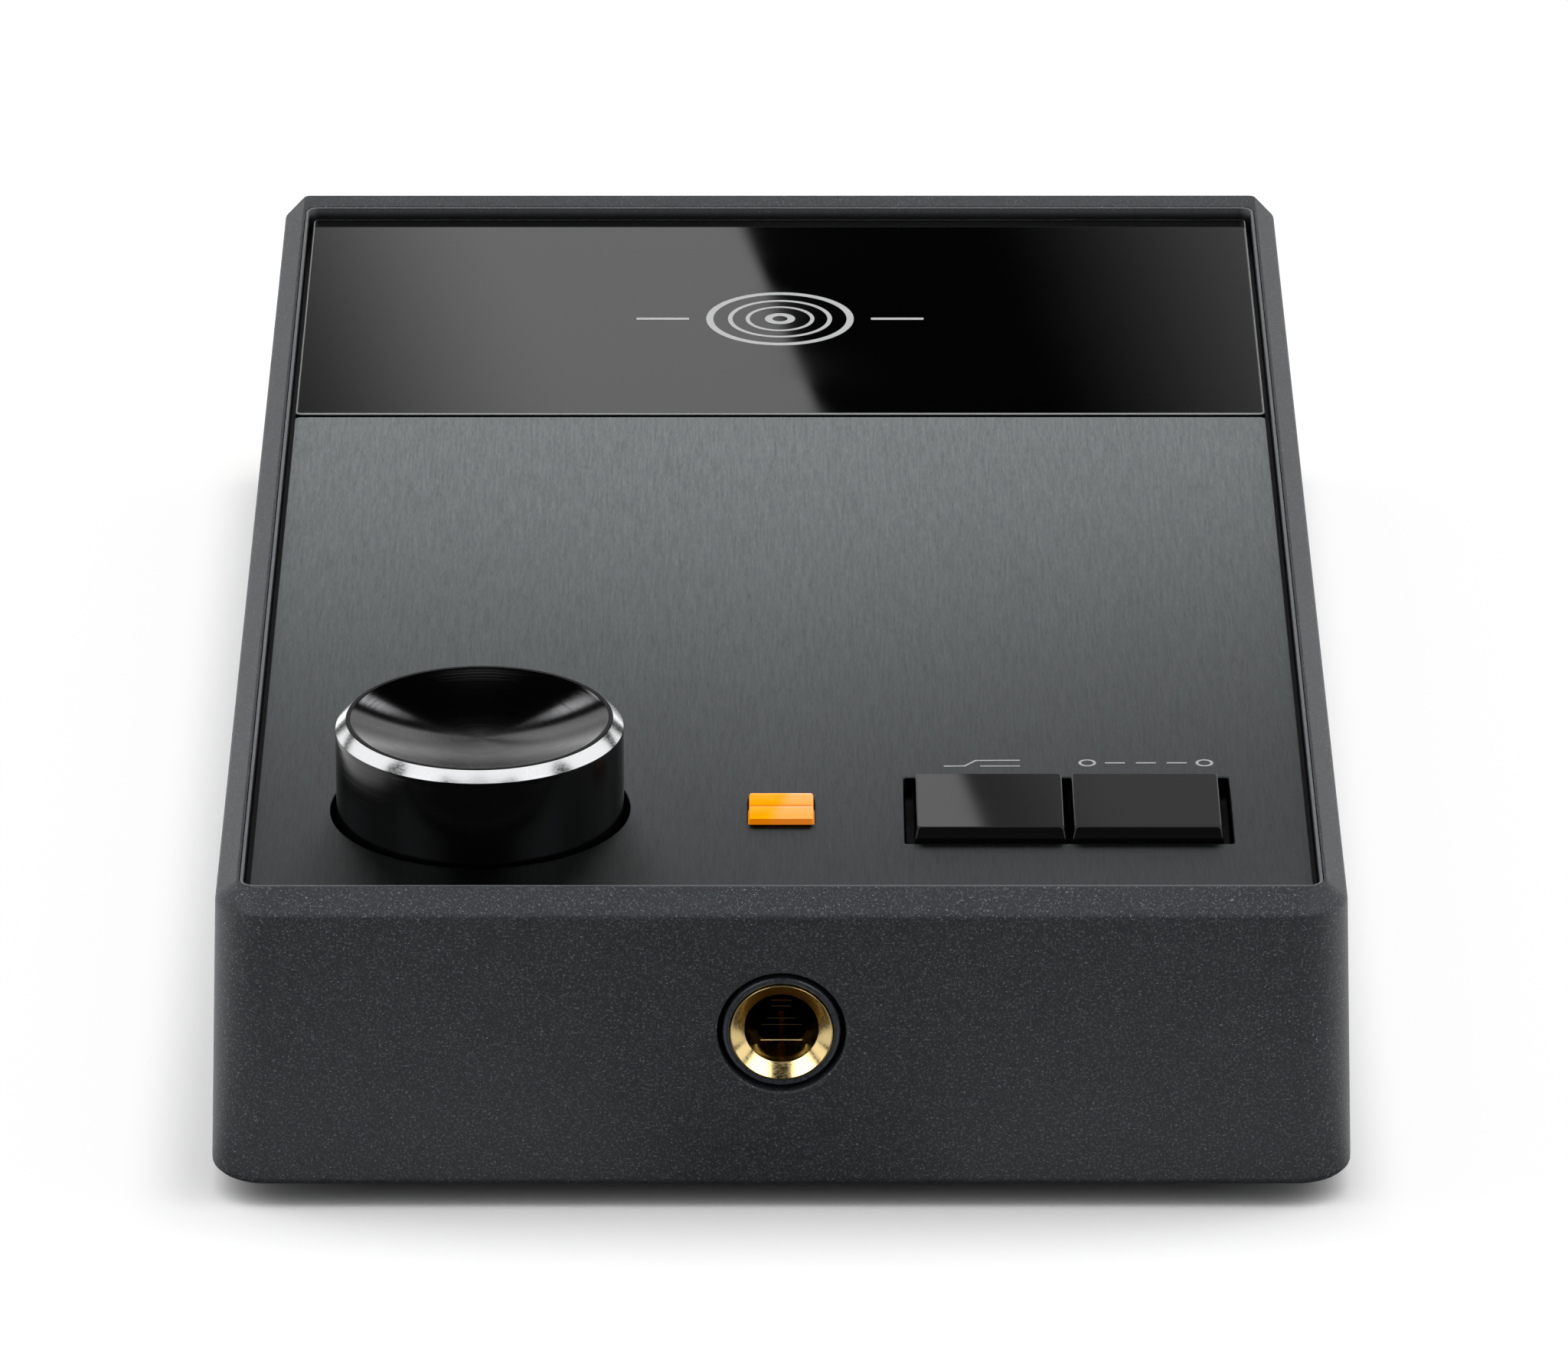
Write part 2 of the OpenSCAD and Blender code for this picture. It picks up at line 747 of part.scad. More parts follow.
// A bent leaf contact in the yz plane; it dips into the bore where a plug would touch it
module leaf_contact(y0) {
    t = 0.35;
    rest = jack_bore_r + 1.2;
    dip = jack_bore_r - 0.5;
    translate([1, 0, jack_z]) rotate([90, 0, -90]) mirror([1, 0, 0])
        linear_extrude(2) polygon([
            [y0, rest], [y0 + 3.6, rest], [y0 + 5.2, dip], [y0 + 6.6, rest - 0.3],
            [y0 + 6.6, rest - 0.3 + t * 1.4], [y0 + 5.2, dip + t * 1.3],
            [y0 + 3.8, rest + t], [y0, rest + t]
        ]);
}

module jack_contacts() {
    color([0.8, 0.65, 0.35]) placed() {
        leaf_contact(sleeve_end + 1.3);
        leaf_contact(sleeve_end + 8.8);
        translate([0, 0, 2 * jack_z]) mirror([0, 0, 1]) leaf_contact(sleeve_end + 5);
    }
}

// ---------------------------------------------------------------- rear panel

module rear_panel() {
    color([0.13, 0.13, 0.135]) placed() difference() {
        translate([-cavity_half_w + 0.3, rear_panel_in, base_top + 0.1])
            cube([2 * (cavity_half_w - 0.3), rear_panel_t, ledge_bottom - base_top - 0.3]);
        for (x = phono_pair_xs) {
            for (side = [-1, 1])
                rod_y(x + side * phono_pitch / 2, rear_z, phono_r + 0.25,
                      rear_panel_in - past, rear_panel_out + past);
            rod_y(x, rear_z, tapping_r + 0.15, rear_panel_in - past, rear_panel_out + past);
        }
        rod_y(stud_x, rear_z, stud_r + 0.1, rear_panel_in - past, rear_panel_out + past);
        rod_y(dc_x, rear_z, dc_nose_r + 0.2, rear_panel_in - past, rear_panel_out + past);
        translate([usb_x - usb_w / 2 - 0.2, rear_panel_in - past, part_z - 0.2])
            cube([usb_w + 0.4, rear_panel_t + 2 * past, usb_h + 0.4]);
    }
}

module rear_panel_screws() {
    color([0.1, 0.1, 0.1]) placed() for (x = phono_pair_xs) difference() {
        union() {
            rod_y(x, rear_z, tapping_r, rear_panel_in - 6, rear_panel_out + 0.1);
            rod_y(x, rear_z, tapping_head_r, rear_panel_out + 0.02, rear_panel_out + 1.6);
        }
        for (a = [0, 90])
            translate([x, rear_panel_out + 0.8, rear_z]) rotate([0, a, 0])
                translate([-1.2, 0, -0.3]) cube([2.4, 3, 0.6]);
    }
}

// Calls its children once for each phono socket of one channel; side picks the channel
module phono_places(side) {
    for (x = phono_pair_xs)
        translate([x + side * phono_pitch / 2, 0, rear_z]) children();
}

module phono_housings() {
    color([0.08, 0.08, 0.08]) placed() for (x = phono_pair_xs) difference() {
        block(x, (phono_house_back + socket_face) / 2, phono_pitch + 12.4,
              socket_face - phono_house_back, part_z, rear_z + 6.2);
        for (side = [-1, 1])
            rod_y(x + side * phono_pitch / 2, rear_z, phono_r + run_gap,
                  phono_back - 0.1, socket_face + past);
        rod_y(x, rear_z, tapping_r + screw_gap, socket_face - 7, socket_face + past);
    }
}

module phono_shells() {
    color([0.85, 0.68, 0.35]) placed() for (side = [-1, 1]) phono_places(side) {
        rotate([-90, 0, 0]) rotate_extrude($fn = 96) polygon([
            [phono_inner_r, phono_back], [phono_r, phono_back],
            [phono_r, rear_panel_out + 0.05],
            [phono_flange_r, rear_panel_out + 0.05],
            [phono_flange_r, rear_panel_out + 0.05 + phono_flange_t],
            [phono_r, rear_panel_out + 0.05 + phono_flange_t],
            [phono_r, rear_tip - 0.3], [phono_r - 0.3, rear_tip], [phono_inner_r, rear_tip]
        ]);
    }
}

module phono_insert() {
    rotate([-90, 0, 0]) difference() {
        translate([0, 0, phono_back]) cylinder(r = phono_insert_r, h = rear_tip - 0.9 - phono_back);
        translate([0, 0, phono_back + 0.8])
            cylinder(r = phono_contact_r + 0.05, h = rear_tip - phono_back);
    }
}

module phono_inserts_left() {
    color([0.92, 0.92, 0.9]) placed() phono_places(1) phono_insert();
}

module phono_inserts_right() {
    color([0.7, 0.07, 0.06]) placed() phono_places(-1) phono_insert();
}

module phono_contacts() {
    color([0.85, 0.68, 0.35]) placed() for (side = [-1, 1]) phono_places(side)
        rotate([-90, 0, 0]) difference() {
            translate([0, 0, phono_back + 0.85])
                cylinder(r = phono_contact_r, h = rear_tip - 2.1 - phono_back);
            translate([0, 0, phono_back + 2])
                cylinder(r = phono_contact_bore_r, h = rear_tip);
        }
}

module dc_inlet_body() {
    color([0.07, 0.07, 0.07]) placed() difference() {
        union() {
            block(dc_x, socket_face - 7, 9, 14, part_z, rear_z + 5.5);
            rod_y(dc_x, rear_z, dc_nose_r, socket_face - 1, rear_panel_out + 0.4);
        }
        rod_y(dc_x, rear_z, dc_bore_r, socket_face - 9, rear_panel_out + past);
    }
}

module dc_inlet_pin() {
    color([0.8, 0.8, 0.82]) placed()
        rod_y(dc_x, rear_z, dc_pin_r, socket_face - 8.95, rear_panel_out - 0.6);
}

// The outline of the data port seen from behind: a rectangle with two bevelled top corners
module usb_outline(grow) {
    w = usb_w / 2 + grow;
    h = usb_h + grow;
    polygon([
        [-w, -grow], [w, -grow], [w, h - usb_bevel], [w - usb_bevel, h],
        [-w + usb_bevel, h], [-w, h - usb_bevel]
    ]);
}

module usb_shell() {
    color([0.75, 0.76, 0.78]) placed() translate([usb_x, usb_out, part_z]) rotate([90, 0, 0])
        difference() {
            linear_extrude(16.4) usb_outline(0);
            translate([0, 0, -past]) linear_extrude(15 + past) usb_outline(-usb_wall);
        }
}

module usb_tongue() {
    color([0.9, 0.9, 0.88]) placed()
        translate([usb_x - usb_tongue_w / 2, usb_out - 14.95, part_z + 4.3])
            cube([usb_tongue_w, 13.4, usb_tongue_h]);
}

module earth_stud() {
    color([0.85, 0.68, 0.35]) placed() {
        rod_y(stud_x, rear_z, stud_r, rear_panel_in - 2, stud_tip);
        hex_y(stud_x, rear_z, 4.2, rear_panel_in - 3, rear_panel_in - 0.05);
    }
}

module earth_lock_nut() {
    color([0.75, 0.76, 0.78]) placed() difference() {
        hex_y(stud_x, rear_z, 4.2, rear_panel_out + 0.05, lock_nut_out);
        rod_y(stud_x, rear_z, stud_r + run_gap, rear_panel_out - past, lock_nut_out + past);
    }
}

module earth_washer() {
    color([0.75, 0.76, 0.78]) placed() difference() {
        rod_y(stud_x, rear_z, 4.4, lock_nut_out + 0.05, washer_out);
        rod_y(stud_x, rear_z, stud_r + 0.1, lock_nut_out - past, washer_out + past);
    }
}

module earth_thumb_nut() {
    color([0.85, 0.68, 0.35]) placed() difference() {
        rod_y(stud_x, rear_z, thumb_nut_r, thumb_nut_in, thumb_nut_in + thumb_nut_d);
        rod_y(stud_x, rear_z, stud_r + run_gap, thumb_nut_in - past,
              thumb_nut_in + thumb_nut_d + past);
        // Straight knurl
        for (i = [0:thumb_nut_ribs - 1])
            translate([stud_x, thumb_nut_in + 1, rear_z])
                rotate([0, 360 * i / thumb_nut_ribs, 0])
                translate([thumb_nut_r + 0.05, 0, 0]) rotate([-90, 0, 0])
                cylinder(r = 0.35, h = thumb_nut_d, $fn = 24);
    }
}

// ---------------------------------------------------------------- components on the board

module filter_capacitors() {
    color([0.1, 0.12, 0.2]) placed() {
        for (x = [-20, -6], y = [62, 77, 92]) difference() {
            translate([x, y, part_z]) cylinder(r = 5, h = 12.5);
            translate([x, y, part_z + 1.6]) rotate_extrude() translate([5.3, 0]) circle(r = 0.5);
        }
    }
}

module film_capacitors() {
    color([0.65, 0.12, 0.1]) placed()
        for (x = [-32, 8, 16, 24], y = [94, 104]) block(x, y, 7.2, 3.5, part_z, part_z + 7.5);
}

module op_amp_chips() {
    color([0.07, 0.07, 0.07]) placed()
        for (x = [10, 22, 34], y = [66, 80]) block(x, y, 5, 4, part_z, part_z + 1.6);
}

module mute_relays() {
    color([0.9, 0.88, 0.8]) placed()
        for (x = [-8, 14]) block(x, case_d - 32, 7.5, 15, part_z, part_z + 9.8);
}

module voltage_regulators() {
    color([0.1, 0.1, 0.1]) placed() for (x = [18.5, 30]) {
        block(x, case_d - 44, 10, 4.4, part_z + 1, part_z + 9.5);
        block(x, case_d - 42.5, 10, 1.3, part_z + 1, part_z + 14);
    }
}

module converter_chip() {
    color([0.07, 0.07, 0.07]) placed() block(30, case_d - 62, 9, 9, part_z, part_z + 1.4);
}

module clock_crystal() {
    color([0.78, 0.78, 0.8]) placed()
        rounded_slab(13, case_d - 64, 24, case_d - 59.5, part_z, part_z + 3.6, 2.2);
}

// ---------------------------------------------------------------- nodes

case_shell();
base_plate();
base_screws();
feet();
top_frame();
top_plate();
glass_window();
mounting_tapes();
rear_panel();
rear_panel_screws();
main_board();
board_standoffs();
board_screws();
pot_body();
pot_shaft();
knob_insert();
volume_knob();
led_lens();
led_chip();
led_board();
led_ribbon();
left_button();
right_button();
left_plunger();
right_plunger();
left_spring();
right_spring();
switch_bodies();
jack_body();
jack_sleeve();
jack_collar();
jack_contacts();
phono_housings();
phono_shells();
phono_inserts_left();
phono_inserts_right();
phono_contacts();
dc_inlet_body();
dc_inlet_pin();
usb_shell();
usb_tongue();
earth_stud();
earth_lock_nut();
earth_washer();
earth_thumb_nut();
filter_capacitors();
film_capacitors();
op_amp_chips();
mute_relays();
voltage_regulators();
converter_chip();
clock_crystal();
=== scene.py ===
"""Looks for a desktop phono preamplifier with a headphone output.

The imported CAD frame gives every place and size. The outside is rebuilt as finer meshes that
stand for the CAD nodes, and the inner CAD nodes stay and get finished materials.
Sizes are in millimetres in the case's own frame (front face y = 0, case bottom z = 0) and
are turned into metres in the row frame by to_row().
"""
import json
import math

import bmesh
import bpy
from mathutils import Matrix, Vector


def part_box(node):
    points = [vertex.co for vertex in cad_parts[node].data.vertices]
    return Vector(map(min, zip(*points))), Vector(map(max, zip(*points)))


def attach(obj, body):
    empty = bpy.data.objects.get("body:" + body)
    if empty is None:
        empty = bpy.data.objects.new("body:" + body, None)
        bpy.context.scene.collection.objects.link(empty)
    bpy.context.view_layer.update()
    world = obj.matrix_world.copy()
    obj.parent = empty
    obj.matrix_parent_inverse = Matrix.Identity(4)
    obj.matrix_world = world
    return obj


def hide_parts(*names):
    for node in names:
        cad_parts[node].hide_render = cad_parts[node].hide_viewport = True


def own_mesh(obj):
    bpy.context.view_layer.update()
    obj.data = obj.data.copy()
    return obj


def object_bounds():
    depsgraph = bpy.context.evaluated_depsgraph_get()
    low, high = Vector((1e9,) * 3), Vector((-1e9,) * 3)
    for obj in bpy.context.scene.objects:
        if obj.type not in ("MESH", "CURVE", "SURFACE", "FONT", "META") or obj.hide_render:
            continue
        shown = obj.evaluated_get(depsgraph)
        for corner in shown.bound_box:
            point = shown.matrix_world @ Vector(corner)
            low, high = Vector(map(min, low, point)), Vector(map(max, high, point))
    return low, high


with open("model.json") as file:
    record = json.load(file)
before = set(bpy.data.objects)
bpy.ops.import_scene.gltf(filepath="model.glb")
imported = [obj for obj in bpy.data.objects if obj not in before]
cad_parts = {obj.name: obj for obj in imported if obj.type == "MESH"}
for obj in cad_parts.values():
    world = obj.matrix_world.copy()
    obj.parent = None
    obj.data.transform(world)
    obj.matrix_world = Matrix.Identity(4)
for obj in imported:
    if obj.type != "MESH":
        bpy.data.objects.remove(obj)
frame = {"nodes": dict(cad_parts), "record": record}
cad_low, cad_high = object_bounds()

MM = 0.001
SHELL_LOW, SHELL_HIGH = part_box("case_shell")
CASE_W = (SHELL_HIGH.x - SHELL_LOW.x) / MM
CASE_D = (SHELL_HIGH.y - SHELL_LOW.y) / MM
CASE_H = (SHELL_HIGH.z - SHELL_LOW.z) / MM


# ---------- places

def to_row(x, y, z):
    """A point in the case's frame, in millimetres, as a row-frame vector in metres."""
    return Vector((x * MM, SHELL_LOW.y + y * MM, SHELL_LOW.z + z * MM))


def case_box(node):
    """A CAD node's lowest and highest corners in the case's frame, in millimetres."""
    low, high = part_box(node)
    shift = Vector((0, SHELL_LOW.y, SHELL_LOW.z))
    return (low - shift) / MM, (high - shift) / MM


def middle(node):
    low, high = case_box(node)
    return (low + high) / 2


def half_width(node):
    low, high = case_box(node)
    return (high.x - low.x) / 2


# ---------- mesh tools

def fillet(points, steps=5):
    """A profile of (a, b, radius) points as plain (a, b) points with round corners."""
    out = []
    last = len(points) - 1
    for i, (a, b, radius) in enumerate(points):
        here = Vector((a, b))
        if radius <= 0 or i in (0, last):
            out.append((a, b))
            continue
        back = Vector(points[i - 1][:2]) - here
        ahead = Vector(points[i + 1][:2]) - here
        half = back.angle(ahead) / 2
        reach = min(radius / math.tan(half), back.length * 0.49, ahead.length * 0.49)
        start = here + back.normalized() * reach
        end = here + ahead.normalized() * reach
        true_radius = reach * math.tan(half)
        centre = here + (back.normalized() + ahead.normalized()).normalized() * (
            true_radius / math.sin(half))
        u, v = start - centre, end - centre
        sweep = u.angle(v)
        for k in range(steps + 1):
            t = k / steps
            w = (u * math.sin((1 - t) * sweep) + v * math.sin(t * sweep)) / math.sin(sweep)
            out.append(tuple(centre + w))
    return out


def rounded_rect(x0, y0, x1, y1, r_front, r_rear=None, z=0.0, corner_steps=10):
    """A level ring of points, counter-clockwise from above, in the case's frame."""
    r_rear = r_front if r_rear is None else r_rear
    corners = [
        (x0 + r_front, y0 + r_front, r_front, 180),
        (x1 - r_front, y0 + r_front, r_front, 270),
        (x1 - r_rear, y1 - r_rear, r_rear, 0),
        (x0 + r_rear, y1 - r_rear, r_rear, 90),
    ]
    ring = []
    for cx, cy, r, first in corners:
        for k in range(corner_steps + 1):
            a = math.radians(first + 90 * k / corner_steps)
            ring.append(Vector((cx + r * math.cos(a), cy + r * math.sin(a), z)))
    return ring


def circle_ring(cx, cy, r, count=160):
    angles = [2 * math.pi * k / count for k in range(count)]
    return [Vector((cx + r * math.cos(a), cy + r * math.sin(a), 0)) for a in angles]


def soften(rings, sizes, steps=4, closed=True):
    """Rounds the bends of a stack of rings: sizes[i] is how far the bend at ring i reaches."""
    out = []
    count = len(rings)
    for i, (ring, size) in enumerate(zip(rings, sizes)):
        if size <= 0 or (not closed and i in (0, count - 1)):
            out.append(ring)
            continue
        before = rings[i - 1]
        after = rings[(i + 1) % count]
        gap_before = sum((p - q).length for p, q in zip(ring, before)) / len(ring)
        gap_after = sum((p - q).length for p, q in zip(ring, after)) / len(ring)
        reach_before = min(size / gap_before, 0.49)
        reach_after = min(size / gap_after, 0.49)
        for k in range(steps + 1):
            t = k / steps
            level = []
            for p, a, b in zip(ring, before, after):
                start = p.lerp(a, reach_before)
                end = p.lerp(b, reach_after)
                level.append(start * (1 - t) ** 2 + p * 2 * t * (1 - t) + end * t * t)
            out.append(level)
    return out


def mark_sharp(bm, limit_deg):
    limit = math.radians(limit_deg)
    for edge in bm.edges:
        if len(edge.link_faces) == 2:
            edge.smooth = edge.calc_face_angle(0) < limit
    for face in bm.faces:
        face.smooth = True


def mesh_object(bm, name, materials=()):
    """Turns a bmesh into an object of the scene."""
    mesh = bpy.data.meshes.new(name)
    bm.to_mesh(mesh)
    bm.free()
    for material in materials:
        mesh.materials.append(material)
    made = bpy.data.objects.new(name, mesh)
    bpy.context.scene.collection.objects.link(made)
    return made


def add_piece(bm, name, slot, body="chassis", materials=None, sharp=32, origin=None):
    """Turns a bmesh in case-frame millimetres into a piece that rides on a body.

    Without materials of its own it takes its slot's. origin, a place in the case's frame,
    becomes the piece's own origin."""
    bmesh.ops.remove_doubles(bm, verts=bm.verts, dist=1e-5)
    bmesh.ops.dissolve_degenerate(bm, edges=bm.edges, dist=1e-6)
    bmesh.ops.recalc_face_normals(bm, faces=bm.faces)
    place = to_row(*origin) if origin else Vector()
    for vert in bm.verts:
        vert.co = to_row(*vert.co) - place
    mark_sharp(bm, sharp)
    piece = mesh_object(bm, name, materials or [PAINT[slot]])
    piece.location = place
    weighted = piece.modifiers.new("even_shading", "WEIGHTED_NORMAL")
    weighted.keep_sharp = True
    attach(piece, body)
    return piece


def replace_node(bm, node, slot, **options):
    """Turns a bmesh into the piece that stands for a CAD node."""
    piece = add_piece(bm, node + "_finished", slot, **options)
    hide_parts(node)
    return piece


def add_loft(bm, rings, closed=False, caps=True, materials=None):
    """Adds walls between successive rings; a closed loft joins its last ring to its first."""
    levels = [[bm.verts.new(p) for p in ring] for ring in rings]
    count = len(levels)
    size = len(levels[0])
    pairs = count if closed else count - 1
    for i in range(pairs):
        low, high = levels[i], levels[(i + 1) % count]
        for k in range(size):
            n = (k + 1) % size
            face = bm.faces.new((low[k], low[n], high[n], high[k]))
            if materials:
                face.material_index = materials[i]
    if caps and not closed:
        bm.faces.new(list(reversed(levels[0])))
        face = bm.faces.new(levels[-1])
        if materials:
            face.material_index = materials[-1]
    return levels


def add_lathe(bm, profile, origin, axis, count=128, closed=True, index=0):
    """Turns (radius, along) points about an axis; points at radius 0 become single points.

    index is a material index or a list with one for each stretch of the profile."""
    frame_of = {"z": (Vector((1, 0, 0)), Vector((0, 1, 0)), Vector((0, 0, 1))),
                "y": (Vector((0, 0, 1)), Vector((1, 0, 0)), Vector((0, 1, 0)))}
    u, v, w = frame_of[axis]
    rings = []
    for r, along in profile:
        centre = origin + w * along
        if r < 1e-6:
            rings.append([bm.verts.new(centre)])
            continue
        angles = [2 * math.pi * k / count for k in range(count)]
        rings.append([bm.verts.new(centre + u * r * math.cos(a) + v * r * math.sin(a))
                      for a in angles])
    last = len(rings) if closed else len(rings) - 1
    for i in range(last):
        low, high = rings[i], rings[(i + 1) % len(rings)]
        if len(low) == 1 and len(high) == 1:
            continue
        for k in range(count):
            n = (k + 1) % count
            if len(low) == 1:
                corners = (low[0], high[n], high[k])
            elif len(high) == 1:
                corners = (low[k], low[n], high[0])
            else:
                corners = (low[k], low[n], high[n], high[k])
            face = bm.faces.new(corners)
            face.material_index = index[i] if isinstance(index, list) else index


SHEET_MARGIN = 0.12
BEVEL_STEPS = 3


def add_sheet(bm, outer, holes, z0, z1, bevel, edge_index=0):
    """A flat sheet with round edges. outer and holes are functions of grow that give a ring.

    A flat margin beside each round edge keeps the shading level up to it, and edge_index is
    the material index of the round upper edge."""
    margin = bevel + SHEET_MARGIN
    levels = [(margin, z0)]
    angles = [math.pi / 2 * k / BEVEL_STEPS for k in range(BEVEL_STEPS + 1)]
    for a in angles:
        levels.append((bevel * (1 - math.sin(a)), z0 + bevel * (1 - math.cos(a))))
    for a in angles:
        levels.append((bevel * (1 - math.cos(a)), z1 - bevel * (1 - math.sin(a))))
    levels.append((margin, z1))
    indices = [0] * (BEVEL_STEPS + 2) + [edge_index] * BEVEL_STEPS + [0]
    bottom_edges, top_edges = [], []
    for ring_of, sign in [(outer, -1)] + [(hole, 1) for hole in holes]:
        rings = []
        for inset, z in levels:
            rings.append([Vector((p.x, p.y, z)) for p in ring_of(sign * inset)])
        walls = add_loft(bm, rings, caps=False, materials=indices)
        for level, edges in ((walls[0], bottom_edges), (walls[-1], top_edges)):
            for k in range(len(level)):
                edges.append(bm.edges.get((level[k], level[(k + 1) % len(level)])))
    for edges in (bottom_edges, top_edges):
        bmesh.ops.triangle_fill(bm, use_beauty=True, use_dissolve=False, edges=edges)


def boolean(bm, cutters, operation="DIFFERENCE"):
    """bm with each cutter bmesh taken away (or joined on); all are in the same frame."""
    def to_object(source):
        bmesh.ops.recalc_face_normals(source, faces=source.faces)
        return mesh_object(source, "boolean_part")

    base = to_object(bm)
    tools = [to_object(cutter) for cutter in cutters]
    for tool in tools:
        change = base.modifiers.new("cut", "BOOLEAN")
        change.operation = operation
        change.solver = "EXACT"
        change.object = tool
    graph = bpy.context.evaluated_depsgraph_get()
    result = bmesh.new()
    result.from_mesh(bpy.data.meshes.new_from_object(base.evaluated_get(graph)))
    for made in [base] + tools:
        bpy.data.objects.remove(made)
    return result


def sweep(bm, path, radius, sides):
    """A round wire along a path of points, with flat ends."""
    rings = []
    side = Vector((0, 1, 0))
    for i, point in enumerate(path):
        along = (path[min(i + 1, len(path) - 1)] - path[max(i - 1, 0)]).normalized()
        side = (side - along * side.dot(along)).normalized()
        up = along.cross(side)
        rings.append([point + side * radius * math.cos(2 * math.pi * k / sides)
                      + up * radius * math.sin(2 * math.pi * k / sides) for k in range(sides)])
    add_loft(bm, rings)


# ---------- material tools

class Tree:
    """A node tree with short calls: add(kind, inputs, settings) and math on sockets."""

    def __init__(self, tree):
        self.tree = tree
        tree.nodes.clear()

    def add(self, kind, inputs=None, **settings):
        node = self.tree.nodes.new("ShaderNode" + kind)
        for key, value in settings.items():
            setattr(node, key, value)
        for key, value in (inputs or {}).items():
            if isinstance(value, bpy.types.NodeSocket):
                self.tree.links.new(value, node.inputs[key])
            elif node.inputs[key].type == "RGBA":
                node.inputs[key].default_value = (*value, 1.0)
            else:
                node.inputs[key].default_value = value
        return node

    def math(self, operation, a, b=0.0, c=0.0):
        return self.add("Math", {0: a, 1: b, 2: c}, operation=operation).outputs[0]

    def times(self, a, b):
        return self.math("MULTIPLY", a, b)

    def plus(self, a, b):
        return self.math("ADD", a, b)

    def less(self, a, b):
        return self.math("SUBTRACT", a, b)

    def larger(self, a, b):
        return self.math("MAXIMUM", a, b)

    def size(self, value):
        return self.math("ABSOLUTE", value)

    def scale_shift(self, value, scale, shift):
        return self.math("MULTIPLY_ADD", value, scale, shift)

    def ramp(self, value, start, end, low=0.0, high=1.0, smooth=True):
        """low up to start, high past end, and a soft change between them."""
        kind = "SMOOTHSTEP" if smooth else "LINEAR"
        node = self.add("MapRange", {"Value": value, "From Min": start, "From Max": end,
                                     "To Min": low, "To Max": high}, interpolation_type=kind)
        return node.outputs[0]

    def vary(self, noise, low, high):
        """A value that wanders from low to high with a noise."""
        return self.ramp(noise, 0.3, 0.7, low, high)

    def hill(self, value, start, full, fading, end):
        """1 from full to fading, falling to 0 at start and at end."""
        return self.times(self.ramp(value, start, full), self.ramp(value, fading, end, 1.0, 0.0))

    def mix(self, factor, a, b):
        return self.add("Mix", {0: factor, 6: a, 7: b}, data_type="RGBA").outputs[2]

    def choose(self, factor, a, b):
        return self.add("Mix", {0: factor, 2: a, 3: b}, data_type="FLOAT").outputs[0]

    def ray_is(self, kind):
        """1 for rays of one kind (Camera, Diffuse or Glossy), 0 for the others."""
        return self.add("LightPath").outputs["Is %s Ray" % kind]

    def glow(self, strength):
        return self.add("Emission", {"Color": (1, 1, 1), "Strength": strength}).outputs[0]

    def where(self):
        return self.add("TexCoord").outputs["Object"]

    def place(self):
        """The x, y and z of the shaded point in the piece's own frame, in metres."""
        return self.add("SeparateXYZ", {0: self.where()}).outputs

    def noise(self, scale, detail=2.0, stretch=(1, 1, 1), roughness=0.5):
        mapping = self.add("Mapping", {"Vector": self.where(), "Scale": stretch})
        node = self.add("TexNoise", {"Vector": mapping.outputs[0], "Scale": scale,
                                     "Detail": detail, "Roughness": roughness})
        return node.outputs["Fac"]

    def bump(self, height, distance_mm, strength=1.0):
        node = self.add("Bump", {"Height": height, "Distance": distance_mm * MM,
                                 "Strength": strength})
        return node.outputs[0]


def new_material(name, build):
    """A material whose node tree is filled by build(tree), which returns the surface socket."""
    material = bpy.data.materials.new(name)
    material.use_nodes = True
    tree = Tree(material.node_tree)
    tree.add("OutputMaterial", {"Surface": build(tree)})
    return material


def finish(build):
    """Makes a build(tree) function into the material it describes, under its own name."""
    return new_material(build.__name__, build)


def principled(tree, **inputs):
    names = {key.replace("_", " ").title().replace("Ior", "IOR"): value
             for key, value in inputs.items()}
    return tree.add("BsdfPrincipled", names).outputs[0]


# ---------- materials

@finish
def powder_coat(t):
    """Charcoal powder coat: a fine pebbled skin with lighter grains."""
    pebble = t.noise(4300, 3.0, roughness=0.7)
    patch = t.noise(260, 2.0)
    grain = t.math("POWER", t.ramp(pebble, 0.44, 0.84), 1.6)
    flake = t.ramp(t.noise(6200, 2.0, roughness=0.7), 0.63, 0.72)
    base = t.mix(patch, (0.0178, 0.021, 0.0245), (0.0255, 0.0298, 0.0343))
    colour = t.mix(grain, base, (0.19, 0.206, 0.218))
    colour = t.mix(t.times(flake, 0.7), colour, (0.42, 0.45, 0.475))
    return principled(t, base_color=colour, roughness=t.vary(pebble, 0.42, 0.62),
                      specular_ior_level=0.4, normal=t.bump(pebble, 0.05, 0.5))


